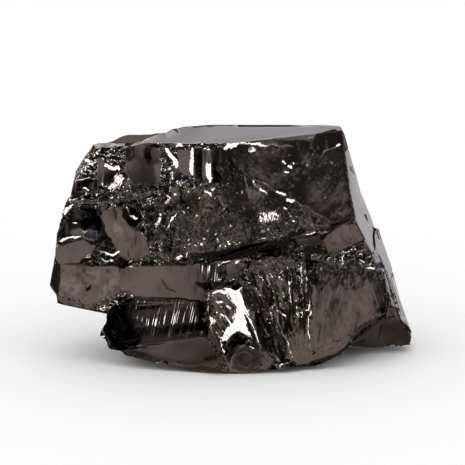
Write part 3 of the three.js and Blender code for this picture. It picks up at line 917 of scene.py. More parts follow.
frosted = {
    # places with a matt skin: outline, feather, how matt
    "leafPatch": ([(112, 224), (117, 222), (122, 229), (121, 237), (116, 238), (112, 231)], 2, 0.9),
    "blockOne": ([(62, 278), (79, 276), (82, 288), (71, 296), (62, 294)], 5, 0.6),
    "blockTwo": ([(86, 271), (100, 272), (98, 284), (88, 282)], 5, 0.5),
    "blockThree": ([(102, 286), (115, 272), (118, 284), (108, 297), (99, 296)], 4, 0.6),
    "ledge": (
        [(72, 200), (116, 197), (152, 192), (164, 190), (158, 195), (116, 201), (72, 204)],
        3, 0.5,
    ),
    "granular": (zones["granular"], 10, 0.06),
}

footCap = {"down": (358, 370), "depth": (-100, -81)}  # how far forward the foot may come
calming = {
    "share": 0.35, "rounds": 8, "look": 0.5, "right": 338,
    "creaseWidth": 3, "creaseSpan": (120, 328), "creaseDepth": 10, "creaseRounds": 14,
}
depth[front] = np.maximum(frontDepth, np.interp(frontY, footCap["down"], footCap["depth"]))
setPoints(lump, fromDrawing(x, y, depth))
spiky = (abs(lookOut) < calming["look"]) & (x > calming["right"]) & (y > flank["span"][0])
spiky &= depth < drawing["reach"]
spiky |= (caught & (lookOut < frontPick["look"])) | melted
weights = np.zeros(len(x))
weights[front] = calming["share"]
weights[spiky] = 1
soften("calm", weights, calming["rounds"])
alongCrease = (abs(x - creaseX) < calming["creaseWidth"]) & within(y, calming["creaseSpan"])
alongCrease &= depth < calming["creaseDepth"]
soften("crease", alongCrease.astype(float), calming["creaseRounds"])
print("front worked")

# Hidden places that stay finely meshed, because they draw the outline.
fine = {
    "crease": {"width": 5, "depth": 20},
    "crack": {"middle": (376, 237), "reach": (10, 15), "depth": 62},
    "lowFlank": {"width": 9, "span": (262, 331), "depth": 40},
    "topEdge": {"above": 152, "left": 168, "leftDepth": 10, "depth": -36},
    "crest": {"above": 129, "across": (165, 235)},
}
x, y, depth = toDrawing(pointsOf(lump))
crease, crack, lowFlank, topRim, crest = fine.values()
keptFine = (abs(x - creaseX) < crease["width"]) & within(y, flank["span"]) & (depth < crease["depth"])
nearCrack = abs(x - crack["middle"][0]) < crack["reach"][0]
nearCrack &= abs(y - crack["middle"][1]) < crack["reach"][1]
keptFine |= nearCrack & (depth < crack["depth"])
onFlank = within(x, (creaseX, creaseX + lowFlank["width"])) & within(y, lowFlank["span"])
keptFine |= onFlank & (depth < lowFlank["depth"])
leftTop = (x < topRim["left"]) & (depth < topRim["leftDepth"])
keptFine |= (y < topRim["above"]) & (leftTop | (depth < topRim["depth"]))
keptFine |= (y < crest["above"]) & within(x, crest["across"])
hidden = (normalsOf(lump) @ towardWay < lumpMake["frontLook"]) & ~keptFine
polygons = lump.data.polygons
corners = np.empty(len(lump.data.loops), np.int32)
lump.data.loops.foreach_get("vertex_index", corners)
firsts = np.empty(len(polygons), np.int32)
polygons.foreach_get("loop_start", firsts)
backFaces = np.logical_and.reduceat(hidden[corners], firsts)
sides = np.diff(np.append(firsts, len(corners))) - 2
ratio = (lumpMake["triangles"] - int(sides[~backFaces].sum())) / int(sides[backFaces].sum())
only(lump)
bpy.ops.object.mode_set(mode="EDIT")
bpy.ops.mesh.select_mode(type="FACE")
bpy.ops.mesh.select_all(action="DESELECT")
bpy.ops.object.mode_set(mode="OBJECT")
polygons.foreach_set("select", backFaces)
bpy.ops.object.mode_set(mode="EDIT")
bpy.ops.mesh.decimate(ratio=max(lumpMake["leastRatio"], min(1, ratio)))
bpy.ops.object.mode_set(mode="OBJECT")
bpy.ops.object.shade_smooth_by_angle(angle=lumpMake["smoothAngle"])
print("lighter mesh:", sum(len(face.vertices) - 2 for face in lump.data.polygons), "triangles")

# The finish of the front is painted as the way each place leans.
painting = {
    "frontal": (0.0, 0.25),
    "frontalDepth": 60,
    "seenLook": -0.05,
    "seenDepth": 110,
    "leastLook": 0.2,
    "loose": (1, 6),
    "wiggles": ((1.1, 7), (0.6, 2.6)),  # how far and how long
    "wiggleSeeds": (91, 93),
    "margin": 2,
    "lineEnds": (-0.02, 0.2),
}
frontX, frontY, depth = toDrawing(pointsOf(lump))
normals = normalsOf(lump)
lookOut = normals @ towardWay
frontal = smooth(lookOut, *painting["frontal"]) * (depth < painting["frontalDepth"])
seen = (lookOut > painting["seenLook"]) * (depth < painting["seenDepth"])
safe = np.maximum(lookOut, painting["leastLook"])
leanRight, leanUp = normals @ rightWay / safe, normals @ upWay / safe
held = np.zeros(len(frontX))
cleaned = np.zeros(len(frontX))
strand = np.zeros((len(frontX), 3))

# Uneven edges: places are looked up a little to one side, but not along the crease.
spots = np.stack([frontX, frontY], 1)
besideCrease = smooth(creaseAt(frontY) - frontX, *painting["loose"])
loose = np.where(within(frontY, flank["span"]), besideCrease, 1)


def wiggle(seed):
    (far, size), (near, smallSize) = painting["wiggles"]
    return loose * (far * waves(spots / size, seed) + near * waves(spots / smallSize, seed + 1))


seedX, seedY = painting["wiggleSeeds"]
looseX, looseY = frontX + wiggle(seedX), frontY + wiggle(seedY)


def softly(outline, feather, anyWay=False):
    near = around(outline, feather + painting["margin"])
    gap = signedDistance(outline, looseX[near], looseY[near])
    return near, smooth(-gap, -feather / 2, feather / 2) * (seen if anyWay else frontal)[near]


def leanTo(near, mask, right, up, clean):
    leanRight[near] += (right - leanRight[near]) * mask
    leanUp[near] += (up - leanUp[near]) * mask
    held[near] += (1 - held[near]) * mask
    cleaned[near] = np.maximum(cleaned[near], mask * clean)


def lay(outline, face, feather, far=None, way=(0, 1), share=1.0, anyWay=False, clean=0.0):
    # one face in an outline, or a fade from one face to another along a way
    near, mask = softly(outline, feather, anyWay)
    if far is None:
        leanTo(near, mask * share, *face, clean)
        return
    ends = [spot[0] * way[0] + spot[1] * way[1] for spot in outline]
    step = smooth(frontX[near] * way[0] + frontY[near] * way[1], min(ends), max(ends))
    right, up = (face[axis] + (far[axis] - face[axis]) * step for axis in (0, 1))
    leanTo(near, mask * share, right, up, clean)


def layLine(line, width, face, feather, share=1.0, anyWay=False):
    near = around(line, width + painting["margin"])
    gap, along = lineDistance(line, looseX[near], looseY[near])
    start, full = painting["lineEnds"]
    half = width / 2 * np.sqrt(smooth(along, start, full) * smooth(1 - along, start, full))
    mask = smooth(half - gap, -feather / 2, feather / 2) * (seen if anyWay else frontal)[near]
    leanTo(near, mask * share, *face, 1.0)


speckMake = {"spread": 0.4, "stretch": 1.5, "feather": 1.0}


def laySpecks(outline, count, size, seed, brightShare, clean=0.0):
    numbers = np.random.default_rng(seed)
    for spot in pickSpots(outline, count, numbers):
        shape = pickShape(spot, size, speckMake["stretch"], numbers)
        face = pickFace(numbers, brightShare, speckMake["spread"])
        lay(shape, face, speckMake["feather"], clean=clean)


mottleMake = {"roundScale": 60, "otherSeed": 500}


def mottle(outline, feather, size, amount, seed, turn=0.0, stretch=1.0, centre=None):
    # soft changes of lean, in rings if they have a centre
    near, mask = softly(outline, feather)
    if centre:
        right, up = frontX[near] - centre[0], centre[1] - frontY[near]
        across, along = np.hypot(right, up), np.arctan2(right, up) * mottleMake["roundScale"]
    else:
        across, along = turned(frontX[near], -frontY[near], turn)
    places = np.stack([across, along / stretch], 1) / size
    leanRight[near] += waves(places, seed) * amount * mask
    leanUp[near] += waves(places, seed + mottleMake["otherSeed"]) * amount * mask
    held[near] += (1 - held[near]) * mask


def comb(outline, feather, gap, amount, turn, centre=None, stretch=12.0):
    # fine strands at one angle, or spreading from a centre
    near, mask = softly(outline, feather)
    if centre:
        right, up = frontX[near] - centre[0], centre[1] - frontY[near]
        across, along = np.arctan2(right, up) * rayUnit, np.hypot(right, up)
    else:
        across, along = turned(frontX[near], -frontY[near], turn)
    chosen = mask * amount > strand[near, 2]
    values = np.stack([across / gap, along / (gap * stretch), mask * amount], 1)
    strand[near[chosen]] = values[chosen]


# Each laid piece: its outline, its face, and perhaps a second face and the way it fades to it.
laid = {
    # upper left
    "scoopDark": ([(76, 178), (84, 177), (97, 180), (97, 191), (88, 193), (75, 192)], black),
    "edgeStrip": (
        [(97, 158), (103, 158), (103.5, 171), (101, 181), (98, 188), (96, 172)],
        brown, deep, (0, 1),
    ),
    "edgeShade": (
        [(103, 166), (110, 166), (119, 173), (114, 181), (108, 187), (102, 186)],
        warm, black, (0.6, 1),
    ),
    "panel": (
        [(124, 155), (129, 146), (160, 147), (162, 165), (158, 181), (148, 190), (136, 189),
         (127, 173)],
        mid, deep, (0.2, 1),
    ),
    "panelLeft": ([(126, 163), (136, 158), (141, 166), (138, 178), (130, 176)], warm, dim, (0.4, 1)),
    "panelRight": ([(155, 164), (161, 164), (160, 183), (155, 186)], brown, mid, (0, 1)),
    "panelHollow": ([(125, 146), (133, 146), (133, 157), (129, 161), (126, 157)], black),
    "panelOval": ([(145, 148), (151, 148), (152, 158), (149, 164), (145, 161)], black),
    "underPanel": ([(124, 186), (158, 186), (150, 192), (130, 192)], black),
    "pit": ([(171, 147), (177, 147), (177, 152), (172, 152)], black),
    "smallPanel": (
        [(178, 150), (190, 150), (190, 173), (184, 176), (178, 167)],
        warm, brown, (-0.3, 1),
    ),
    "fluteDark": ([(194.4, 148), (202, 148), (203, 182), (198, 180), (194.4, 168)], black),
    "fluteGrey": ([(202, 149), (208.5, 150), (210, 178), (204, 181)], deep, brown, (1, 0.1)),
    "fluteBrown": (
        [(209, 149), (221, 147), (222, 162), (216, 178), (211.6, 172), (210, 160)],
        mid, black, (1, 0.35),
    ),
    "fluteBlack": ([(220, 147), (228, 146), (231, 160), (237, 174), (230, 186), (222, 176)], black),
    # dark face
    "darkFace": (zones["darkFace"], dim, deep, (1, 0.2)),
    "faceGlow": (
        [(237, 154), (262, 150), (284, 156), (286, 168), (262, 176), (244, 168)],
        mid, deep, (1, 0.2),
    ),
    "faceLow": ([(312, 200), (330, 194), (348, 196), (353, 214), (333, 222)], mid, warm, (0.3, 1)),
    "faceHollow": (
        [(283, 152), (292, 150), (300, 160), (300, 178), (290, 182), (284, 170)],
        deep, black, (1, 0),
    ),
    "cornerBlack": ([(314, 154), (330, 151), (343, 146), (343, 130), (314, 135)], black),
    "besideCorner": ([(296, 141), (318, 137), (319, 152), (300, 152)], black, dim, (-1, 0.3)),
    # below the spine
    "wingLeft": (
        [(245, 174), (252, 178), (258, 190), (256, 200), (250, 202), (247, 190)],
        mid, black, (1, 0.3),
    ),
    "underSpine": ([(256, 193), (266, 193), (268, 199), (258, 200)], brown, mid, (0, 1)),
    "spinePit": ([(289, 203), (300, 204), (302, 209), (294, 212), (289, 208)], black),
    # granular part
    "granularBase": (zones["granular"], (0.55, 0.0)),
    "under": (
        [(186, 256), (200, 254), (217, 251.5), (240, 247.5), (262, 243), (290, 237.5), (290, 243),
         (270, 245.5), (262, 247), (250, 255), (238, 259), (187, 261)],
        black,
    ),
    # left middle
    "leftDark": (
        [(60, 214), (74, 206), (104, 206), (112, 240), (122, 262), (98, 262), (84, 240), (58, 242)],
        black,
    ),
    "columnGlow": ([(72, 207), (80, 207), (82, 221), (74, 222)], deep, dim, (0, 1)),
    "violet": (
        [(70, 221), (90, 220), (97, 226), (97, 240), (84, 238), (69, 233)],
        violet, black, (-0.3, -1),
    ),
    "faceLeft": (
        [(100, 207), (122, 208), (124, 218), (127, 230), (131, 246), (131, 262), (124, 262),
         (116, 250), (108, 236), (102, 220)],
        warm, brown, (0.3, 1),
    ),
    "faceRight": (
        [(122, 212), (127, 225), (134, 231), (140, 231), (147, 238), (149, 247), (150, 261),
         (128, 261), (126, 240), (124, 228)],
        brown, warm, (0.5, 1),
    ),
    "faceGap": ([(113, 206), (116, 206), (118, 214), (116, 222), (114, 216)], dim),
    "glossy": (
        [(122, 208), (130, 205), (138, 207), (145, 219), (143, 227), (135, 230), (128, 225),
         (124, 217)],
        black,
    ),
    "glossyWhite": ([(129, 214), (138, 217), (136, 220.5), (131, 219)], bright),
    "besideGlossy": ([(144, 206), (156, 205), (160, 214), (154, 234), (146, 234), (145, 220)], black),
    "lowFacet": (
        [(57, 246), (84, 240), (97, 246), (90, 253), (78, 264), (54, 264)],
        warm, brown, (0, 1),
    ),
    # left block and band
    "blockEnd": ([(51, 277), (58, 261), (60, 280), (58, 295), (52, 298)], leftBlack),
    "blockWhole": (
        [(60, 264), (119, 266), (121, 291), (106, 308), (84, 311), (57, 305), (59, 290), (62, 278)],
        brown,
    ),
    "blockLow": ([(58, 294), (84, 298), (88, 309), (70, 309), (54, 303)], warm, dim, (0, 1)),
    "blockNick": ([(85, 286), (88, 288), (92, 285), (91, 290), (87, 292)], black),
    "band": (
        [(120, 268), (200, 265), (212, 275), (216, 286), (208, 300), (177, 298), (132, 297),
         (120, 292)],
        brown, mid, (1, 0.15),
    ),
    "bandEnd": ([(199, 265), (219, 263), (219, 283), (206, 282)], shade),
    "bandEndFoot": ([(196, 283), (222, 284), (214, 290), (206, 290)], black),
    # scoop and belly
    "scoop": (
        [(118, 304), (132, 297), (208, 303), (209, 332), (176, 340), (148, 346), (118, 344),
         (104, 330), (106, 314)],
        black,
    ),
    "scoopStriae": ([(134, 299), (196, 301), (200, 322), (188, 336), (150, 334), (132, 318)], shade),
    "scoopFade": (
        [(140, 328), (176, 326), (209, 322), (216, 336), (176, 343), (142, 347)],
        black, (0.36, -0.15), (0, 1),
    ),
    "belly": (
        [(116, 350), (146, 346), (176, 341), (214, 334), (224, 350), (228, 374), (190, 371),
         (150, 364), (124, 358)],
        (0.26, -0.14), (0.24, -0.28), (0.2, 1),
    ),
    "fanLip": ([(296, 366), (318, 359), (334, 354), (346, 347), (340, 361), (320, 366)], (0.45, -0.3)),
    # pale patch
    "patchTop": (
        [(209, 290), (226, 287), (230, 290), (226, 296), (214, 298), (209, 300)],
        warm, glow, (1, 0),
    ),
    "patchDark": (
        [(210, 298), (226, 294), (234, 303), (236, 318), (230, 328), (222, 336), (212, 334)],
        warm, deep, (0.3, 1),
    ),
    "patchGlow": (
        [(222, 289), (232, 285), (246, 302), (253, 314), (255, 330), (250, 338), (236, 334),
         (222, 345), (218, 341), (230, 322)],
        glow,
    ),
    "patchWhite": (
        [(225, 288), (231, 287), (238, 293), (245, 303), (250, 311), (250, 320), (252, 328), (255, 338),
         (248, 338), (241, 332), (236, 330), (231, 335), (226, 341), (221, 343), (221, 339), (226, 331),
         (231, 323), (233, 315), (232, 305), (228, 296)],
        bright,
    ),
    "patchSide": ([(250, 311), (256, 312), (258, 322), (252, 322), (247, 314)], glow, dim, (1, 0.3)),
    "feathered": (
        [(225, 346), (231, 338), (237, 331), (241, 336), (251, 337), (247, 343), (238, 348),
         (232, 356), (229, 364), (225, 358)],
        black,
    ),
    "ring": (
        [(236, 350), (246, 346), (256, 350), (262, 358), (258, 368), (244, 372), (230, 370),
         (231, 360)],
        deep, mid, (0.5, 1),
    ),
    "ringSide": ([(258, 352), (268, 350), (276, 360), (270, 370), (260, 370)], mid, warm, (1, 0.5)),
    "spear": ([(245, 315), (248, 319), (254, 331), (257, 341), (253, 341), (249, 330)], black),
    "spearFoot": ([(250, 342), (257, 343), (258, 349), (252, 348)], black),
    # above the pale patch
    "tongue": ([(224, 264), (243, 262), (247, 268), (240, 277), (224, 281)], warm, dim, (0.6, 1)),
    "tongueDark": ([(217, 267), (225, 266), (226, 276), (219, 280)], black),
    "tongueUnder": (
        [(203, 283), (232, 281), (247, 271), (262, 262), (263, 264), (248, 276), (232, 286),
         (206, 287)],
        black,
    ),
    "fanBrow": (
        [(250, 262), (285, 255), (300, 262), (286, 270), (262, 274), (248, 274)],
        mid, warm, (0.5, 1),
    ),
    "fanLeftBase": (zones["fanLeft"], (0.34, 0.02)),
    # right
    "panelFace": (
        [(321, 241), (335, 229), (356, 223), (365, 239), (335, 253), (323, 247)],
        (0.02, 0.04), (0.2, -0.14), (-0.1, 1),
    ),
    "panelEnd": ([(319, 238), (325, 239), (328, 249), (321, 247)], deep, mid, (1, 0)),
    "panelSide": ([(295, 239), (319, 237), (320, 242), (314, 246), (301, 245)], mid, deep, (0.4, 1)),
    "panelUnder": ([(296, 245), (318, 247), (336, 253), (336, 257), (308, 254), (294, 250)], black),
    "gap": ([(278, 244), (291, 242), (296, 252), (306, 262), (296, 262), (286, 252)], black),
    "fanRight": (
        [(314, 284), (350, 278), (378, 284), (384, 300), (378, 314), (362, 326), (345, 344),
         (318, 355), (309, 350)],
        mid, warm, (0.6, 1),
    ),
    "fanRightHigh": (
        [(316, 262), (350, 262), (376, 270), (382, 282), (350, 290), (318, 292)],
        deep, mid, (0, 1),
    ),
    "fanShade": (
        [(362, 278), (382, 280), (388, 296), (382, 306), (374, 306), (368, 292)],
        warm, deep, (1, -0.3),
    ),
    "fanBright": (
        [(352, 292), (372, 296), (374, 314), (352, 330), (332, 344), (326, 338), (344, 318)],
        brown, warm, (-1, 0),
    ),
    "toeArc": ([(290, 332), (308, 330), (309, 338), (293, 340)], deep, mid, (0, 1)),
    "toe": (
        [(286, 343), (296, 336), (309, 333), (312, 346), (310, 361), (298, 364), (288, 361)],
        warm, brown, (0.6, 0.6),
    ),
    "toeSide": ([(317, 346), (327, 343), (328, 354), (318, 356)], brown),
    "flankPit": ([(380, 304), (386, 303), (387, 309), (384, 314), (379, 311)], black),
    "footFace": (
        [(345, 349), (350, 341), (362, 330), (384, 317), (399, 317), (411, 336), (409, 351)],
        (0.40, -0.1), (0.34, -0.25), (1, 0),
    ),
    "footShadow": ([(346, 349), (352, 340), (362, 332), (364, 340), (358, 350)], black),
    "flankFoot": ([(390, 306), (398, 308), (400, 320), (392, 318)], mid, warm, (1, 0)),
}
softPieces = {
    "panel": 3, "panelLeft": 6, "panelRight": 4, "panelHollow": 2, "panelOval": 3, "edgeShade": 3,
    "darkFace": 3, "faceGlow": 12, "faceLow": 12, "faceHollow": 8, "besideCorner": 6,
    "cornerBlack": 4, "fluteBrown": 4, "fluteGrey": 3, "fluteBlack": 4, "scoopFade": 6,
    "scoopStriae": 5, "belly": 4, "patchWhite": 3, "patchTop": 4, "patchSide": 5, "patchDark": 4,
    "ring": 5, "ringSide": 8, "fanRight": 8, "fanRightHigh": 8, "fanShade": 8, "fanBright": 12,
    "toe": 5, "toeArc": 4, "toeSide": 4, "footShadow": 6, "granularBase": 8, "featherPatch": 7,
    "patchGlow": 6, "fanLeftBase": 8, "wing": 6, "wingBrown": 4, "wingFoot": 6, "crackLeaf": 3,
    "crackFoot": 3, "pale": 4, "paleRight": 4, "shadeStar": 8, "shadeRight": 12, "paleLow": 14,
    "paleMid": 14, "fanBrow": 5, "columnGlow": 4, "violet": 4, "blockLow": 5, "besideGlossy": 4,
    "band": 2.4, "tongue": 3, "panelFace": 2.2, "wingLeft": 4,
}
layMake = {
    "soft": 1.8, "softAbove": 1.4, "softLine": 1.2, "softFlankLine": 1.0,
    "flankLineShare": 0.9, "greyShare": 0.6, "clean": 0.9,
}
cleanPieces = {"shadeStar": 0.4, "shadeRight": 0.4, "paleLow": 0.3, "paleMid": 0.3}
faintPieces = {
    "fanLeftBase": 0.35, "patchGlow": 0.6, "wing": 0.95, "wingFoot": 0.8, "crackLeaf": 0.9,
    "crackFoot": 0.8, "pale": 0.8, "paleRight": 0.8, "granularBase": 0.75, "shadeStar": 0.7,
    "shadeRight": 0.7, "paleLow": 0.6, "paleMid": 0.5,
}
for name, (outline, face, *fade) in laid.items():
    lay(outline, face, softPieces.get(name, layMake["soft"]), *fade, share=faintPieces.get(name, 1))

# Laid wherever the camera sees it, so on the top and the flank as well.
upward = {
    "wedge": (
        [(94, 144.5), (112, 143.5), (134, 143.5), (128, 147), (118, 148.5), (106, 148), (98, 148)],
        (0, 6),
    ),
    "behindWedge": (
        [(94, 143.4), (98, 143.6), (134, 143.3), (142, 141.8), (146, 139.5), (152, 136.4), (157, 133.8),
         (157, 131), (140, 131), (122, 131), (112, 138), (104, 141)],
        warm,
    ),
    "crestMark": ([(169, 131.4), (172, 128.8), (178, 128.6), (176, 130.6)], mid),
    "crestLine": (
        [(183, 126), (200, 124.6), (232, 123.4), (290, 122.6), (290, 125), (232, 125.6),
         (200, 127.2), (183, 127.6)],
        brown,
    ),
    "fanEdge": (
        [(296, 366), (318, 359), (334, 354), (347, 345), (352, 339), (364, 329), (384, 315), (380, 310),
         (362, 321), (345, 336), (330, 347), (312, 354), (296, 360)],
        warm,
    ),
    "fanFoot": (
        [(350, 344), (364, 333), (384, 319.5), (398, 318.5), (400, 322), (384, 324), (366, 337),
         (352, 348)],
        (0.4, -0.1),
    ),
    "besideFoot": ([(386, 309), (393, 306), (400, 316), (398, 318), (386, 317)], mid),
    "blockEnd": (
        [(44, 272), (50, 258), (58, 261), (60, 280), (58, 296), (53, 302), (46, 292)],
        leftBlack,
    ),
    "cornerTop": (
        [(316, 132.5), (330, 131.5), (341, 130.5), (343, 136), (330, 137), (316, 138)],
        black,
    ),
    "flankTop": ([(340, 122), (344, 130), (349, 146), (345.5, 152), (343, 140), (341, 130)], warm),
    "ringBody": (
        [(236, 349), (246, 345), (256, 349), (262, 357), (259, 366), (250, 371), (238, 371),
         (232, 362)],
        (0.40, -0.12),
    ),
    "ringDark": (
        [(240, 352), (248, 349), (256, 353), (258, 360), (253, 366), (243, 366), (238, 359)],
        (0.52, -0.1),
    ),
    "ringHeart": ([(244, 356), (250, 354), (254, 358), (250, 363), (244, 362)], (0.34, -0.16)),
    "roofMarkA": ([(160, 135.4), (163, 134.2), (166, 134), (164, 135.4)], mid),
    "roofMarkB": ([(243, 133), (250, 132.4), (256, 133.2), (248, 134)], mid),
    "roofMarkC": ([(264, 128.6), (272, 128), (276, 128.8), (268, 129.4)], dim),
}
softUpward = {"ringBody": 4, "ringDark": 5, "ringHeart": 4}
for name, (outline, face) in upward.items():
    lay(outline, face, softUpward.get(name, layMake["softAbove"]), anyWay=True)

faceCentre = (282, 146)
mottles = {
    # outline, feather, size, strength, seed, and perhaps turn, stretch and centre
    "face": (zones["darkFace"], 6, 14, 0.14, 61, 60, 1.6),
    "faceRings": (zones["darkFace"], 6, 5, 0.10, 62, 0, 5, faceCentre),
    "faceFine": (zones["darkFace"], 6, 2.4, 0.07, 79, 0, 3, faceCentre),
    "panel": (laid["panel"][0], 4, 9, 0.08, 63),
    "band": (laid["band"][0], 4, 16, 0.08, 64),
    "bandFine": (laid["band"][0], 4, 3, 0.04, 80, 0, 4),
    "panelFace": (laid["panelFace"][0], 3, 6, 0.10, 85, 20),
    "panelFine": (laid["panelFace"][0], 3, 1.8, 0.10, 91),
    "faceGrain": (zones["darkFace"], 6, 1.7, 0.08, 90),
    "smallPanel": (laid["smallPanel"][0], 3, 6, 0.08, 86),
    "fan": (laid["fanRight"][0], 6, 12, 0.10, 65, 20, 3),
    "fanFine": (laid["fanRight"][0], 8, 2.4, 0.10, 87, -20, 2),
    "belly": (laid["belly"][0], 4, 12, 0.06, 66, 80, 2),
    "footFace": (laid["footFace"][0], 3, 8, 0.05, 67),
    "faceRight": (laid["faceRight"][0], 2, 4, 0.14, 68, 0, 2),
    "faceLeft": (laid["faceLeft"][0], 2, 4, 0.08, 69, 0, 2),
    "lowFacet": (laid["lowFacet"][0], 2, 5, 0.08, 70),
    "block": (laid["blockWhole"][0], 3, 6, 0.12, 71),
    "blockFine": (laid["blockWhole"][0], 3, 2.5, 0.07, 72),
    "granular": (zones["granular"], 8, 20, 0.14, 88),
    "granularMid": (zones["granular"], 8, 9, 0.24, 73),
    "granularFine": (zones["granular"], 8, 2.6, 0.3, 76),
}
for patch in mottles.values():
    mottle(*patch)

inGranular = {
    "featherPatch": ([(258, 212), (268, 210), (283, 212), (283, 220), (263, 223)], glow),
    "wing": (
        [(213, 172), (228, 166), (240, 172), (250, 188), (258, 200), (262, 208), (250, 213),
         (236, 208), (222, 196), (214, 186)],
        black, dim, (0.3, 1),
    ),
    "wingBrown": ([(246, 190), (256, 190), (268, 198), (262, 206), (250, 202)], brown, deep, (1, 1)),
    "wingFoot": ([(226, 200), (246, 206), (256, 212), (244, 217), (230, 212)], dim, black, (0.2, 1)),
    "shadeStar": ([(172, 196), (190, 196), (200, 208), (190, 216), (176, 212)], deep, black, (1, 0.6)),
    "shadeRight": (
        [(270, 196), (292, 204), (304, 214), (296, 224), (276, 222), (266, 206)],
        black, deep, (0, 1),
    ),
    "paleLow": (
        [(188, 222), (206, 214), (220, 224), (214, 242), (196, 246), (186, 236)],
        mid, dim, (1, 0),
    ),
    "paleMid": ([(240, 222), (262, 226), (268, 238), (250, 244), (236, 236)], mid, dim, (1, 1)),
    "crackFace": (
        [(183, 190), (190, 187), (200, 192), (197, 198), (187, 202), (183, 198)],
        warm, deep, (0.4, 1),
    ),
    "crackSide": ([(168, 188), (177, 187), (180, 193), (179, 200), (173, 198)], brown, mid, (1, 1)),
    "crackLeaf": (
        [(186, 204), (196, 202), (204, 212), (200, 222), (190, 218), (185, 210)],
        deep, mid, (1, 1),
    ),
    "crackFoot": ([(176, 216), (184, 214), (190, 226), (184, 236), (176, 232)], mid, deep, (0, 1)),
    "pale": (
        [(206, 222), (214, 218), (222, 226), (218, 240), (208, 242), (203, 232)],
        dim, deep, (0.4, 1),
    ),
    "paleRight": ([(226, 218), (236, 216), (246, 224), (242, 236), (230, 232)], deep, mid, (1, 1)),
}
for name, (outline, face, *fade) in inGranular.items():
    feather = softPieces.get(name, layMake["soft"])
    share, clean = faintPieces.get(name, 1), cleanPieces.get(name, layMake["clean"])
    lay(outline, face, feather, *fade, share=share, clean=clean)

lateMottles = {
    # outline, feather, size, strength, seed, turn, stretch
    "violet": (laid["violet"][0], 2, 4, 0.2, 74, 30, 3),
    "patchDark": (laid["patchDark"][0], 2, 4, 0.35, 75, -30, 3),
    "fanHigh": (laid["fanRightHigh"][0], 4, 2.2, 0.18, 77, 25, 1.5),
    "fanBrow": (laid["fanBrow"][0], 4, 6, 0.15, 78, 50, 2),
}
for patch in lateMottles.values():
    mottle(*patch)

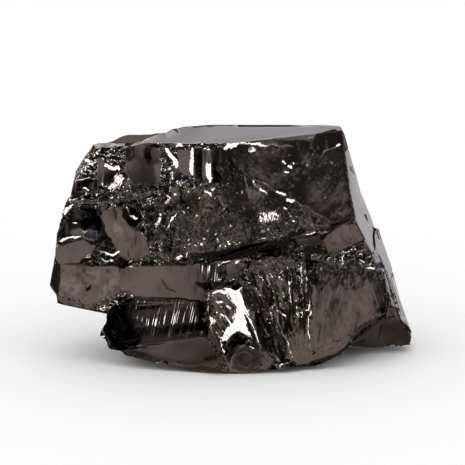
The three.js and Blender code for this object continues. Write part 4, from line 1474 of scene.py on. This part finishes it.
drawn = {
    # line, width, face
    "edgeGlint": ([(85, 159), (91, 163), (93, 167)], 3, bright),
    "scoopArc": ([(75, 182), (82, 179), (91, 177)], 2, glow),
    "scoopGlint": ([(82, 188), (90, 191)], 2.4, bright),
    "patchHigh": ([(105, 165), (109, 166), (114, 168), (117, 167)], 4, bright),
    "patchSpark": ([(117, 165), (119, 172)], 2, glow),
    "patchLowA": ([(123, 175), (118, 181)], 5, bright),
    "patchLowB": ([(119, 180), (113, 186), (108, 189)], 3, glow),
    "patchLowC": ([(118, 173), (114, 180)], 1.6, glow),
    "patchLowD": ([(122, 182), (118, 189)], 1.4, glow),
    "slantBar": ([(165, 147), (171, 154), (176, 163), (178, 168)], 4.5, glow),
    "slantCore": ([(166, 149), (171, 155), (176, 164)], 2.4, bright),
    "slantTail": ([(174, 160), (178, 169)], 5, glow),
    "column": ([(192, 147), (192.5, 158), (191.5, 175)], 3.6, bright),
    "shine": ([(210.5, 162), (210, 173), (209.5, 183)], 3, bright),
    "shineGlow": ([(207, 160), (207.5, 180)], 3, glow),
    "crescentHead": ([(224, 150), (230, 146.5), (238, 144.5)], 5.5, bright),
    "crescent": ([(228, 146), (242, 143), (258, 144), (270, 145.5)], 2.6, bright),
    "crescentTail": ([(262, 144.5), (278, 145), (292, 147)], 1.6, glow),
    "blob": ([(248, 150.5), (256, 148.5)], 4.5, bright),
    "clusterA": ([(283, 160), (286, 163)], 2.6, bright),
    "clusterB": ([(288, 165), (292, 167)], 2.6, bright),
    "clusterC": ([(284, 172), (289, 173)], 2.6, bright),
    "clusterD": ([(292, 162), (294, 164)], 2, bright),
    "cornerLine": ([(321, 153), (327, 150), (334, 147), (341, 144.5)], 1.6, glow),
    "cornerGlint": ([(336, 146), (341, 144)], 3, bright),
    "besideFace": ([(229, 148), (231, 158), (236, 167), (246, 175), (256, 180)], 4, black),
    "spineLine": ([(236, 167), (252, 178), (268, 187), (285, 195), (309, 209), (331, 225)], 1.2, brown),
    "spineA": ([(275, 191), (280, 193), (286, 195)], 3.4, bright),
    "spineB": ([(286, 199), (291, 201), (296, 202.5)], 3.4, bright),
    "blueA": ([(253, 179), (257, 187), (265, 192), (268, 194)], 2.4, bright),
    "blueB": ([(245, 174), (247, 185), (251, 201)], 2.0, brown),
    "blueC": ([(256, 182), (259, 192), (264, 199)], 1.6, warm),
    "paleArc": ([(215, 196), (220, 198.5), (223, 202)], 2.2, warm),
    "featherA": ([(259, 214), (262, 223)], 2.4, bright),
    "featherB": ([(264, 211), (266, 222)], 3, bright),
    "featherC": ([(269, 212), (270, 221)], 2.2, bright),
    "featherD": ([(273, 213), (280, 216)], 3, bright),
    "featherE": ([(258, 219), (280, 219)], 2, glow),
    "sparkHigh": ([(204, 189), (209, 193), (211, 197)], 4, bright),
    "slashLeft": ([(160.5, 212), (160, 219), (156, 226), (154, 232)], 3.4, bright),
    "slashRight": ([(176.5, 214), (170, 221), (166, 230)], 2.2, bright),
    "slashTop": ([(165, 195), (169, 198), (167, 204)], 3, bright),
    "slashSide": ([(176, 204), (186, 215)], 1.4, glow),
    "leftStreak": ([(71, 205), (67, 209), (64, 215)], 3, bright),
    "serrated": ([(59, 242), (66, 239), (73, 237), (81, 236)], 2.6, bright),
    "violetGlint": ([(72, 223), (77, 224)], 2, bright),
    "blueLine": ([(126, 206), (130, 213)], 1.6, glow),
    "vLeft": ([(98, 257), (106, 260), (114, 260)], 2.6, bright),
    "vRight": ([(104, 253), (112, 255), (121, 251)], 2.6, bright),
    "vTop": ([(98, 250), (106, 254)], 1.8, bright),
    "bandCrack": ([(159, 279), (168, 287), (177, 293)], 1.2, deep),
    "faceCrack": ([(134.5, 230), (135, 246)], 1.2, deep),
    "starA": ([(181, 187), (182, 206)], 3, black),
    "starB": ([(182, 198), (193, 216)], 2, black),
    "starC": ([(181, 196), (176, 206)], 1.6, black),
    "patchEdge": ([(209, 290), (209, 304), (210, 318), (213, 334)], 1.6, glow),
    "patchA": ([(216, 300), (220, 301.5), (225, 303.5)], 2.6, bright),
    "patchB": ([(226, 306), (232, 309)], 2.2, bright),
    "patchC": ([(215, 312), (219, 312), (225, 316), (230, 322)], 2.4, bright),
    "patchD": ([(219, 313), (222, 320)], 1.6, bright),
    "patchE": ([(212, 316), (215, 322)], 5.5, bright),
    "patchF": ([(224, 316), (228, 320), (232, 326)], 1.4, glow),
    "patchG": ([(212, 293), (220, 291), (228, 293)], 3, bright),
    "patchH": ([(220, 340), (222, 347), (225, 355)], 2, bright),
    "spearEdge": ([(249, 317), (254, 326), (257, 336), (257.5, 344)], 2, bright),
    "footGlint": ([(249, 345), (254, 348.5)], 1.6, bright),
    "ringArc": ([(238, 356), (244, 352), (251, 353), (255, 358)], 1.4, mid),
    "ringArcLow": ([(238, 364), (246, 367), (254, 364)], 1.4, mid),
    "tongueEdge": ([(218, 266), (223, 262.5), (232, 261)], 2, bright),
    "tongueGlint": ([(235, 264), (240, 260)], 3, bright),
    "bandTopGlint": ([(176, 260), (182, 256)], 3.4, bright),
    "brightEdge": ([(292, 237.5), (312, 233.5), (331, 230.5)], 2, bright),
    "creviceGlint": ([(293, 242), (291, 248), (289, 253)], 2.4, bright),
    "panelCrack": ([(349, 226), (354, 240)], 1.2, mid),
    "fanA": ([(276, 303), (277, 314), (282, 332), (288, 346), (295, 362)], 1.8, glow),
    "fanB": ([(276, 309), (281, 313), (286, 316)], 1.8, bright),
    "fanC": ([(288, 278), (290, 292), (291, 307)], 1.8, glow),
    "fanD": ([(309, 298), (309, 315), (307, 330), (310, 345), (311, 358)], 2, glow),
    "fanE": ([(282, 291), (284, 299)], 2.4, bright),
    "fanF": ([(266, 275), (270, 283)], 2.4, bright),
    "fanG": ([(301, 266), (302, 277)], 1.4, glow),
    "fanH": ([(311, 283), (315, 292), (312, 300)], 3, warm),
    "fanI": ([(301, 307), (303, 318)], 1.4, glow),
    "fanJ": ([(296, 306), (297, 318)], 1.2, glow),
    "fanK": ([(255, 286), (258, 294)], 1.6, glow),
    "sideGlintA": ([(365, 270), (370, 267.5), (377, 269)], 2.8, bright),
    "sideGlintB": ([(352, 251), (356, 248.5)], 2.6, bright),
    "sideGlintC": ([(359, 260), (364, 261), (366, 264)], 1.8, bright),
    "sideGlintD": ([(343, 256), (342, 262)], 1.6, bright),
    "sideGlintE": ([(337, 262), (340, 268)], 1.4, glow),
    "pitRim": ([(387, 303), (388, 309)], 1.8, bright),
    "pitLow": ([(383, 314), (388, 312)], 1.6, bright),
    "flankLine": ([(343, 131), (344, 150), (349, 190), (355, 218)], 1.2, glow),
}
for line, width, face in drawn.values():
    layLine(line, width, face, layMake["softLine"])

specks = {
    # outline, how many, size, seed, share that shines
    "granular": (zones["granular"], 150, (1.2, 2.6), 81, 0.3),
    "spots": (
        [(190, 190), (228, 180), (282, 200), (300, 222), (286, 236), (226, 248), (190, 250),
         (160, 240)],
        60, (1.2, 3.2), 82, 0.55,
    ),
    "lowLeft": (
        [(190, 236), (202, 238), (204, 246), (196, 249), (188, 243)],
        20, (1.6, 4), 101, 0.6, 0.8,
    ),
    "lowMid": (
        [(216, 238), (228, 239), (231, 248), (222, 250), (216, 245)],
        20, (1.6, 4), 102, 0.6, 0.8,
    ),
    "mid": ([(201, 217), (209, 221), (210, 234), (203, 234)], 14, (1.4, 3.6), 103, 0.5, 0.8),
    "edgeLow": ([(255, 224), (285, 234), (286, 239), (258, 240)], 30, (1.2, 3), 104, 0.45, 0.8),
    "high": ([(198, 183), (213, 188), (217, 200), (205, 200)], 22, (1.6, 4), 105, 0.5, 0.8),
    "right": ([(257, 207), (284, 210), (286, 224), (258, 226)], 30, (1.6, 4), 106, 0.5, 0.8),
    "rightTip": (
        [(286, 206), (312, 214), (326, 224), (300, 230), (286, 222)],
        40, (1.4, 3.4), 107, 0.4, 0.8,
    ),
    "shelf": (
        [(98, 190), (160, 190), (214, 172), (232, 186), (204, 198), (116, 201), (76, 200)],
        60, (1.2, 3), 83, 0.4,
    ),
    "brow": ([(98, 148), (123, 148), (124, 162), (108, 163)], 46, (1.2, 3), 84, 0.25),
    "edge": ([(80, 160), (93, 150), (97, 160), (96, 176), (77, 176)], 46, (1.4, 4), 85, 0.25),
    "besidePatch": (
        [(240, 287), (254, 285), (266, 300), (262, 318), (252, 311)],
        40, (1, 2.4), 108, 0.3, 0.6,
    ),
    "column": ([(160, 147), (168, 150), (172, 170), (169, 186), (161, 186)], 46, (1.2, 3), 86, 0.45),
    "under": (
        [(66, 204), (158, 194), (168, 204), (148, 208), (98, 208), (66, 210)],
        60, (1.2, 3), 87, 0.4,
    ),
    "left": ([(62, 205), (72, 208), (70, 222), (60, 240), (58, 226)], 30, (1.4, 3.6), 88, 0.4),
    "cheek": ([(92, 240), (112, 242), (124, 262), (80, 266), (90, 252)], 60, (1.2, 3), 89, 0.45),
    "bandTop": (
        [(84, 258), (150, 258), (208, 256), (210, 266), (150, 265), (84, 265)],
        90, (1.2, 2.6), 90, 0.5,
    ),
    "blockFoot": (
        [(84, 306), (104, 298), (122, 290), (132, 294), (108, 308), (86, 312)],
        60, (1.4, 3.4), 91, 0.45,
    ),
    "blockEdge": ([(60, 296), (84, 298), (86, 308), (60, 304)], 20, (1.4, 3), 92, 0.3),
    "besidePanel": (
        [(330, 255), (372, 244), (384, 262), (380, 272), (330, 266)],
        70, (1.4, 4), 93, 0.4,
    ),
    "fanTop": ([(250, 262), (330, 258), (380, 262), (380, 276), (260, 284)], 90, (1.2, 2.6), 94, 0.35),
    "patch": ([(209, 290), (222, 296), (226, 322), (222, 344), (212, 330)], 50, (1.4, 3.4), 95, 0.45),
    "patchFoot": ([(220, 340), (226, 352), (230, 374), (222, 374)], 24, (1.2, 2.4), 96, 0.4),
    "dark": ([(250, 150), (330, 142), (342, 170), (330, 200), (270, 176)], 46, (0.9, 1.8), 97, 0.5),
    "flankLow": (
        [(372, 262), (384, 262), (398, 300), (408, 334), (400, 330), (384, 290)],
        40, (1.4, 3), 98, 0.4,
    ),
}
for outline, count, size, seed, *shares in specks.values():
    laySpecks(outline, count, size, seed, *shares)

flankLines = {
    # line, width, face
    "crack": ([(372, 226.5), (374.5, 229), (373.5, 236), (375, 250)], 2.8, black),
    "crackTip": ([(375, 227), (377, 233), (379.5, 240)], 1.2, dim),
    "highA": ([(352, 172), (356, 186), (360, 200)], 1.0, deep),
    "highB": ([(360, 206), (364, 212), (369, 222)], 1.4, deep),
    "highC": ([(359.5, 208), (363, 207.5), (366, 209.5)], 1.4, black),
    "highD": ([(362, 208), (364.5, 214), (368, 222)], 1.2, deep),
    "highE": ([(349, 165), (353, 176), (357, 190), (361, 203)], 0.8, dim),
    "lowA": ([(378, 252), (386, 274), (396, 304)], 1.2, deep),
    "lowB": ([(383, 262), (392, 286), (402, 318)], 1.0, black),
    "lowC": ([(388, 284), (396, 308), (406, 334)], 1.2, black),
    "lowD": ([(377, 262), (380, 268), (385, 280)], 1.2, bright),
}
for line, width, face in flankLines.values():
    layLine(line, width, face, layMake["softFlankLine"], layMake["flankLineShare"], anyWay=True)

# Laid last, over the glints: outline, face, feather, share.
over = {
    "ledge": (
        [(70, 201), (96, 199), (116, 198.5), (140, 195), (158, 190.5), (166, 189.5), (162, 193.5),
         (142, 198.5), (118, 203), (96, 203.5), (70, 204.5)],
        dim, 1.6, 0.9,
    ),
    "shelf": ([(98, 188), (128, 192), (156, 190.5), (140, 194), (116, 197), (92, 197)], deep, 3, 0.6),
    "leafPatch": (
        [(110, 222), (117, 220), (122, 228), (121, 238), (116, 240), (111, 232)],
        (0.02, -0.1), 2, 0.9,
    ),
}
for outline, face, feather, share in over.values():
    lay(outline, face, feather, share=share)
greyLines = {
    # line, width, face
    "high": ([(228, 296), (234, 305), (236, 314)], 1.2, warm),
    "low": ([(219, 296), (228, 294)], 1.6, brown),
}
for line, width, face in greyLines.values():
    layLine(line, width, face, layMake["softLine"], layMake["greyShare"])

combs = {
    # outline, feather, gap, strength, turn, and perhaps a centre and how long the strands are
    "scoop": (
        [(126, 299), (178, 298), (200, 303), (198, 326), (184, 337), (152, 336), (130, 316)],
        7, 1.1, 2.4, 12, None, 40,
    ),
    "bandEnd": ([(198, 265), (218, 263), (219, 283), (203, 282)], 4, 1.1, 2.8, 5, None, 40),
    "patchDark": (laid["patchDark"][0], 4, 1.3, 1.6, -35, None),
    "patchWhite": (laid["patchWhite"][0], 3, 1.3, 0.9, -30, None, 30),
    "bandRight": ([(184, 266), (212, 266), (214, 298), (184, 298)], 12, 1.4, 0.25, 2, None),
    "fanRight": (laid["fanRight"][0], 10, 1.1, 0.62, 0, fanCentre, 30),
    "fanRightHigh": (laid["fanRightHigh"][0], 8, 1.2, 0.7, 0, fanCentre, 16),
    "besidePatch": (
        [(238, 287), (252, 283), (264, 298), (262, 318), (252, 311), (243, 298)],
        4, 1.2, 1.5, -30, None, 16,
    ),
    "fanShade": (laid["fanShade"][0], 5, 1.2, 1.0, -20, None, 30),
    "fanLeft": (zones["fanLeft"], 8, 1.1, 1.1, 0, fanCentre, 30),
    "feather": ([(256, 210), (283, 210), (283, 224), (256, 224)], 5, 1.3, 2.4, 10, None),
    "hair": ([(228, 340), (237, 331), (252, 337), (246, 345), (230, 350)], 3, 1.2, 3.0, 45, None),
    "patch": ([(118, 172), (126, 176), (114, 191), (106, 188)], 3, 1.2, 1.2, -50, None),
    "granular": (zones["granular"], 10, 1.4, 0.5, 30, None),
}
for strands in combs.values():
    comb(*strands)
print("front painted")


# How grainy and how matt the skin is; sizes in metres.
skin = {
    "heldLoss": 0.25,
    "cleanedLoss": 0.8,
    "patches": ((0.011, 53), (0.004, 54)),  # size and seed
    "smallShare": 0.4,
    "patchStep": (-0.05, 0.35),
    "sideLook": (0.1, 0.4),
    "sideShare": 0.55,
}


def paint(name, values):
    wide = np.ndim(values) == 2
    layer = lump.data.attributes.new(name, "FLOAT_VECTOR" if wide else "FLOAT", "POINT")
    layer.data.foreach_set("vector" if wide else "value", values.astype(np.float32).ravel())


def fullest(places):
    # the strongest share of any place, at each point
    shares = np.zeros(len(frontX))
    for outline, feather, share in places:
        near, mask = softly(outline, feather)
        shares[near] = np.maximum(shares[near], mask * share)
    return shares


points = pointsOf(lump)
(patchSize, patchSeed), (smallSize, smallSeed) = skin["patches"]
small = skin["smallShare"] * waves(points / smallSize, smallSeed)
patchy = waves(points / patchSize, patchSeed) + small
rough = smooth(patchy, *skin["patchStep"]) * (1 - smooth(lookOut, *skin["sideLook"]))
grain = fullest(grainy) * ((1 - held * skin["heldLoss"]) * (1 - cleaned * skin["cleanedLoss"]))
grain = np.maximum(grain, rough * (1 - calmSides(normals)) * skin["sideShare"])
way = np.outer(leanRight, rightWay) + np.outer(leanUp, upWay) + towardWay
way /= np.linalg.norm(way, axis=1)[:, None]
paint("grain", grain)
paint("frost", fullest(frosted.values()))
paint("held", held)
paint("lean", way * held[:, None])
paint("strand", strand)
print("finish painted")


class Flow:
    # one socket of a node tree, with arithmetic written as Python
    def __init__(self, tree, socket):
        self.tree, self.socket = tree, socket

    def put(self, target, value):
        if isinstance(value, Flow):
            self.tree.links.new(value.socket, target)
        else:
            target.default_value = value

    def add(self, kind, settings=None, sockets=None, out=0):
        node = self.tree.nodes.new(kind)
        for name, value in (settings or {}).items():
            setattr(node, name, value)
        for name, value in (sockets or {}).items():
            self.put(node.inputs[name], value)
        return Flow(self.tree, node.outputs[out] if node.outputs else None)

    def sum(self, operation, *values):
        return self.add("ShaderNodeMath", {"operation": operation}, dict(enumerate(values)))

    def __add__(self, other):
        return self.sum("ADD", self, other)

    def __sub__(self, other):
        return self.sum("SUBTRACT", self, other)

    def __rsub__(self, other):
        return self.sum("SUBTRACT", other, self)

    def __mul__(self, other):
        return self.sum("MULTIPLY", self, other)

    __radd__, __rmul__ = __add__, __mul__

    def ramp(self, low, high, start=0.0, end=1.0):
        # a smooth step from start at low to end at high
        sockets = {"Value": self, "From Min": low, "From Max": high, "To Min": start, "To Max": end}
        return self.add("ShaderNodeMapRange", {"interpolation_type": "SMOOTHSTEP"}, sockets)

    def vector(self, operation, *values, out=0):
        settings = {"operation": operation}
        return self.add("ShaderNodeVectorMath", settings, dict(enumerate(values)), out)

    def scaled(self, vector, share):
        return self.add("ShaderNodeVectorMath", {"operation": "SCALE"}, {0: vector, "Scale": share})

    def mix(self, share, first, second):
        # a colour between two
        sockets = {0: share, 6: first, 7: second}
        return self.add("ShaderNodeMix", {"data_type": "RGBA"}, sockets, 2)

    def painted(self, name, out="Fac"):
        return self.add("ShaderNodeAttribute", {"attribute_name": name}, out=out)

    def noise(self, vector, scale, detail):
        sockets = {"Vector": vector, "Scale": scale, "Detail": detail}
        return self.add("ShaderNodeTexNoise", sockets=sockets, out="Fac")


def emptyTree(owner):
    owner.use_nodes = True
    owner.node_tree.nodes.clear()
    return Flow(owner.node_tree, None)


stoneFinish = {
    "mirror": (0.125, 0.115, 0.11, 1),
    "grainMirror": (0.115, 0.115, 0.105, 1),
    "frostMirror": (0.26, 0.25, 0.235, 1),
    "roughness": 0.07,
    "grainRoughness": 0.13,
    "frostRoughness": 0.42,
    "frostNoise": (900.0, 3.0),
    "frostPatches": (0.35, 0.6),
    "flake": 0.0005,
    "fineFlake": 0.00025,
    "flakeTilt": 1.5,
    "frostTilt": 0.3,
    "leastTilt": 0.03,
    "strandNoise": (1.0, 2.0),
}


def makeStone():
    look = stoneFinish
    material = bpy.data.materials.new("shungite")
    start = emptyTree(material)
    place = start.add("ShaderNodeTexCoord", out="Object")
    grain = start.painted("grain")
    patchy = start.noise(place, *look["frostNoise"]).ramp(*look["frostPatches"])
    frost = start.painted("frost") * patchy

    def flakes(size):
        # a small random lean for each flake
        sockets = {"Vector": place, "Scale": 1 / size}
        colour = start.add("ShaderNodeTexVoronoi", None, sockets, out="Color")
        tilt = start.vector("SUBTRACT", colour, (0.5, 0.5, 0.5))
        return start.vector("MULTIPLY", tilt, start.vector("ABSOLUTE", tilt))

    grainTilt = grain * look["flakeTilt"]
    big = start.scaled(flakes(look["flake"]), grainTilt)
    fineTilt = grainTilt + frost * look["frostTilt"] + look["leastTilt"]
    fine = start.scaled(flakes(look["fineFlake"]), fineTilt)
    strand = start.painted("strand", "Vector")
    across, along, strength = (
        start.add("ShaderNodeSeparateXYZ", sockets={"Vector": strand}, out=axis) for axis in "XYZ"
    )
    strandPlace = start.add("ShaderNodeCombineXYZ", sockets={"X": across, "Y": along})
    strands = (start.noise(strandPlace, *look["strandNoise"]) - 0.5) * strength
    comb = start.scaled(tuple(rightWay), strands)
    own = start.add("ShaderNodeNewGeometry", out="Normal")
    own = start.scaled(own, 1 - start.painted("held"))
    normal = start.vector("ADD", own, start.painted("lean", "Vector"))
    for part in (comb, big, fine):
        normal = start.vector("ADD", normal, part)
    normal = start.vector("NORMALIZE", normal)
    mirror = start.mix(grain, look["mirror"], look["grainMirror"])
    mirror = start.mix(frost, mirror, look["frostMirror"])
    rough = grain * (look["grainRoughness"] - look["roughness"]) + look["roughness"]
    rough = rough + frost * (look["frostRoughness"] - rough)
    shader = start.add(
        "ShaderNodeBsdfPrincipled",
        sockets={"Base Color": mirror, "Metallic": 1.0, "Roughness": rough, "Normal": normal},
    )
    start.add("ShaderNodeOutputMaterial", sockets={"Surface": shader})
    return material


lump.data.materials.clear()
lump.data.materials.append(makeStone())
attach(lump, "root")
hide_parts("shungite")
print("stone finished")

studio = {
    "sensor": 36,
    "imageSide": 465,
    "panels": {
        "key": {
            "toward": (-0.75, 0.33, 0.58), "size": (0.55, 0.55), "bright": 9, "colour": (1, 0.97, 0.92),
        },
        "side": {
            "toward": (0.55, 0.80, 0.25), "size": (0.14, 0.5), "bright": 4, "colour": (1, 0.97, 0.95),
        },
    },
    "panelAway": 1.2,
    "floorSize": 2.0,
    "floorColour": (0.92, 0.92, 0.92, 1),
    "daylight": 1.1,
}
rightWay, upWay, towardWay = Vector(rightWay), Vector(upWay), Vector(towardWay)
target = Vector(drawing["target"])
viewWidth = studio["imageSide"] / drawing["unitsPerMetre"]

cameraData = bpy.data.cameras.new("camera")
camera = bpy.data.objects.new("camera", cameraData)
bpy.context.scene.collection.objects.link(camera)
camera.location = target + towardWay * drawing["eyeAway"]
camera.rotation_euler = (-towardWay).to_track_quat("-Z", "Y").to_euler()
cameraData.sensor_width = studio["sensor"]
cameraData.lens = studio["sensor"] * drawing["eyeAway"] / viewWidth
cameraData.shift_y = drawing["middle"][1] / studio["imageSide"] - 0.5
bpy.context.scene.camera = camera
bpy.context.scene.view_settings.view_transform = "Standard"

for name, panel in studio["panels"].items():
    right, up, toward = panel["toward"]
    way = (rightWay * right + upWay * up + towardWay * toward).normalized()
    light = bpy.data.lights.new(name, "AREA")
    light.shape = "RECTANGLE"
    light.size, light.size_y = panel["size"]
    light.energy = panel["bright"] * math.pi * light.size * light.size_y
    light.color = panel["colour"]
    lamp = bpy.data.objects.new(name, light)
    bpy.context.scene.collection.objects.link(lamp)
    lamp.location = target + way * studio["panelAway"]
    lamp.rotation_euler = (-way).to_track_quat("-Z", "Y").to_euler()
    lamp.visible_diffuse = False

# The room that the stone mirrors: its colours, and where each part begins and is full.
room = {
    "dark": (0.08, 0.078, 0.072, 1),
    "front": (0.98, 0.85, 0.78, 1),
    "low": (0.34, 0.24, 0.19, 1),
    "back": (0.52, 0.495, 0.53, 1),
    "beside": (0.86, 0.83, 0.87, 1),
    "rear": (0.70, 0.65, 0.64, 1),
    "left": (0.42, 0.37, 0.35, 1),
    "ceiling": (0.23, 0.24, 0.42, 1),
    "sideSky": (0.80, 0.76, 0.72, 1),
    "glow": (2.0, 1.9, 1.75, 1),
    "slant": 0.35,
    "sides": (0.75, -1.15),
    "frontSides": (0.74, 0.08),
    "frontTop": (0.58, 0.18),
    "frontNear": (0.1, 0.35),
    "lowUp": (-0.55, -0.12),
    "ceilingUp": (0.78, 0.95),
    "ceilingSides": (0.5, 0.25),
    "ceilingNear": (0.15, 0.35),
    "cloudNoise": (3.0, 1.0),
    "cloud": (0.2, 0.62, 0.72, 1.0),
    "backNear": (-0.35, -0.7),
    "backUp": (-0.5, -0.2),
    "besideAcross": (0.1, 0.4),
    "rearUp": (0.2, -0.05),
    "leftAcross": (-0.4, -0.8),
    "leftNear": (0.0, -0.25),
    "leftUp": (-0.5, -0.1),
    "rearGlowWay": (-0.25, 0.70, -0.67),
    "rearGlowEdge": (0.88, 0.97),
    "sideSkyWay": (0.62, 0.70, 0.34),
    "sideSkyEdge": (0.86, 0.99),
    "keyEdge": (0.87, 0.985),
}


def makeWorld():
    world = bpy.data.worlds.new("studio")
    bpy.context.scene.world = world
    start = emptyTree(world)
    look = start.add("ShaderNodeTexCoord")
    across, up, toward = (
        start.vector("DOT_PRODUCT", look, way, out="Value") for way in (rightWay, upWay, towardWay)
    )
    right, left = room["sides"]
    sides = start.sum("MAXIMUM", across * right, across * left)

    def facing(way):
        return across * way[0] + up * way[1] + toward * way[2]

    low = up.ramp(*room["lowUp"])
    wall = start.mix(low, room["low"], room["front"])
    ceiling = up.ramp(*room["ceilingUp"]) * sides.ramp(*room["ceilingSides"])
    ceiling = ceiling * toward.ramp(*room["ceilingNear"])
    colour = start.mix(ceiling, room["dark"], room["ceiling"])
    frontWall = sides.ramp(*room["frontSides"]) * (up + across * room["slant"]).ramp(*room["frontTop"])
    frontWall = frontWall * toward.ramp(*room["frontNear"])
    cloud = start.noise(look, *room["cloudNoise"]).ramp(*room["cloud"])
    colour = start.mix(frontWall * cloud, colour, wall)
    rearTone = start.mix(across.ramp(*room["besideAcross"]), room["back"], room["beside"])
    rearTone = start.mix(up.ramp(*room["rearUp"]), rearTone, room["rear"])
    leftWall = across.ramp(*room["leftAcross"]) * toward.ramp(*room["leftNear"])
    leftWall = leftWall * up.ramp(*room["leftUp"])
    colour = start.mix(leftWall, colour, room["left"])
    backWall = toward.ramp(*room["backNear"]) * up.ramp(*room["backUp"])
    colour = start.mix(backWall, colour, rearTone)
    rearGlow = facing(room["rearGlowWay"]).ramp(*room["rearGlowEdge"])
    colour = start.mix(rearGlow, colour, room["glow"])
    sideSky = facing(room["sideSkyWay"]).ramp(*room["sideSkyEdge"])
    colour = start.mix(sideSky, colour, room["sideSky"])
    nearKey = facing(Vector(studio["panels"]["key"]["toward"]).normalized()).ramp(*room["keyEdge"])
    colour = start.mix(nearKey, colour, room["glow"])
    mirrored = start.add("ShaderNodeBackground", sockets={"Color": colour})
    daylight = start.add(
        "ShaderNodeBackground", sockets={"Color": (1, 1, 1, 1), "Strength": studio["daylight"]}
    )
    glossy = start.add("ShaderNodeLightPath", out="Is Glossy Ray")
    both = start.add("ShaderNodeMixShader", sockets={0: glossy, 1: daylight, 2: mirrored})
    start.add("ShaderNodeOutputWorld", sockets={"Surface": both})


makeWorld()
bpy.ops.mesh.primitive_plane_add(size=studio["floorSize"])
floor = bpy.context.object
floor.name = "floor"
floorPaint = bpy.data.materials.new("floor")
floorStart = emptyTree(floorPaint)
floorShader = floorStart.add(
    "ShaderNodeBsdfPrincipled", sockets={"Base Color": studio["floorColour"], "Roughness": 1.0}
)
floorStart.add("ShaderNodeOutputMaterial", sockets={"Surface": floorShader})
floor.data.materials.append(floorPaint)
floor.visible_glossy = False
print("studio set")
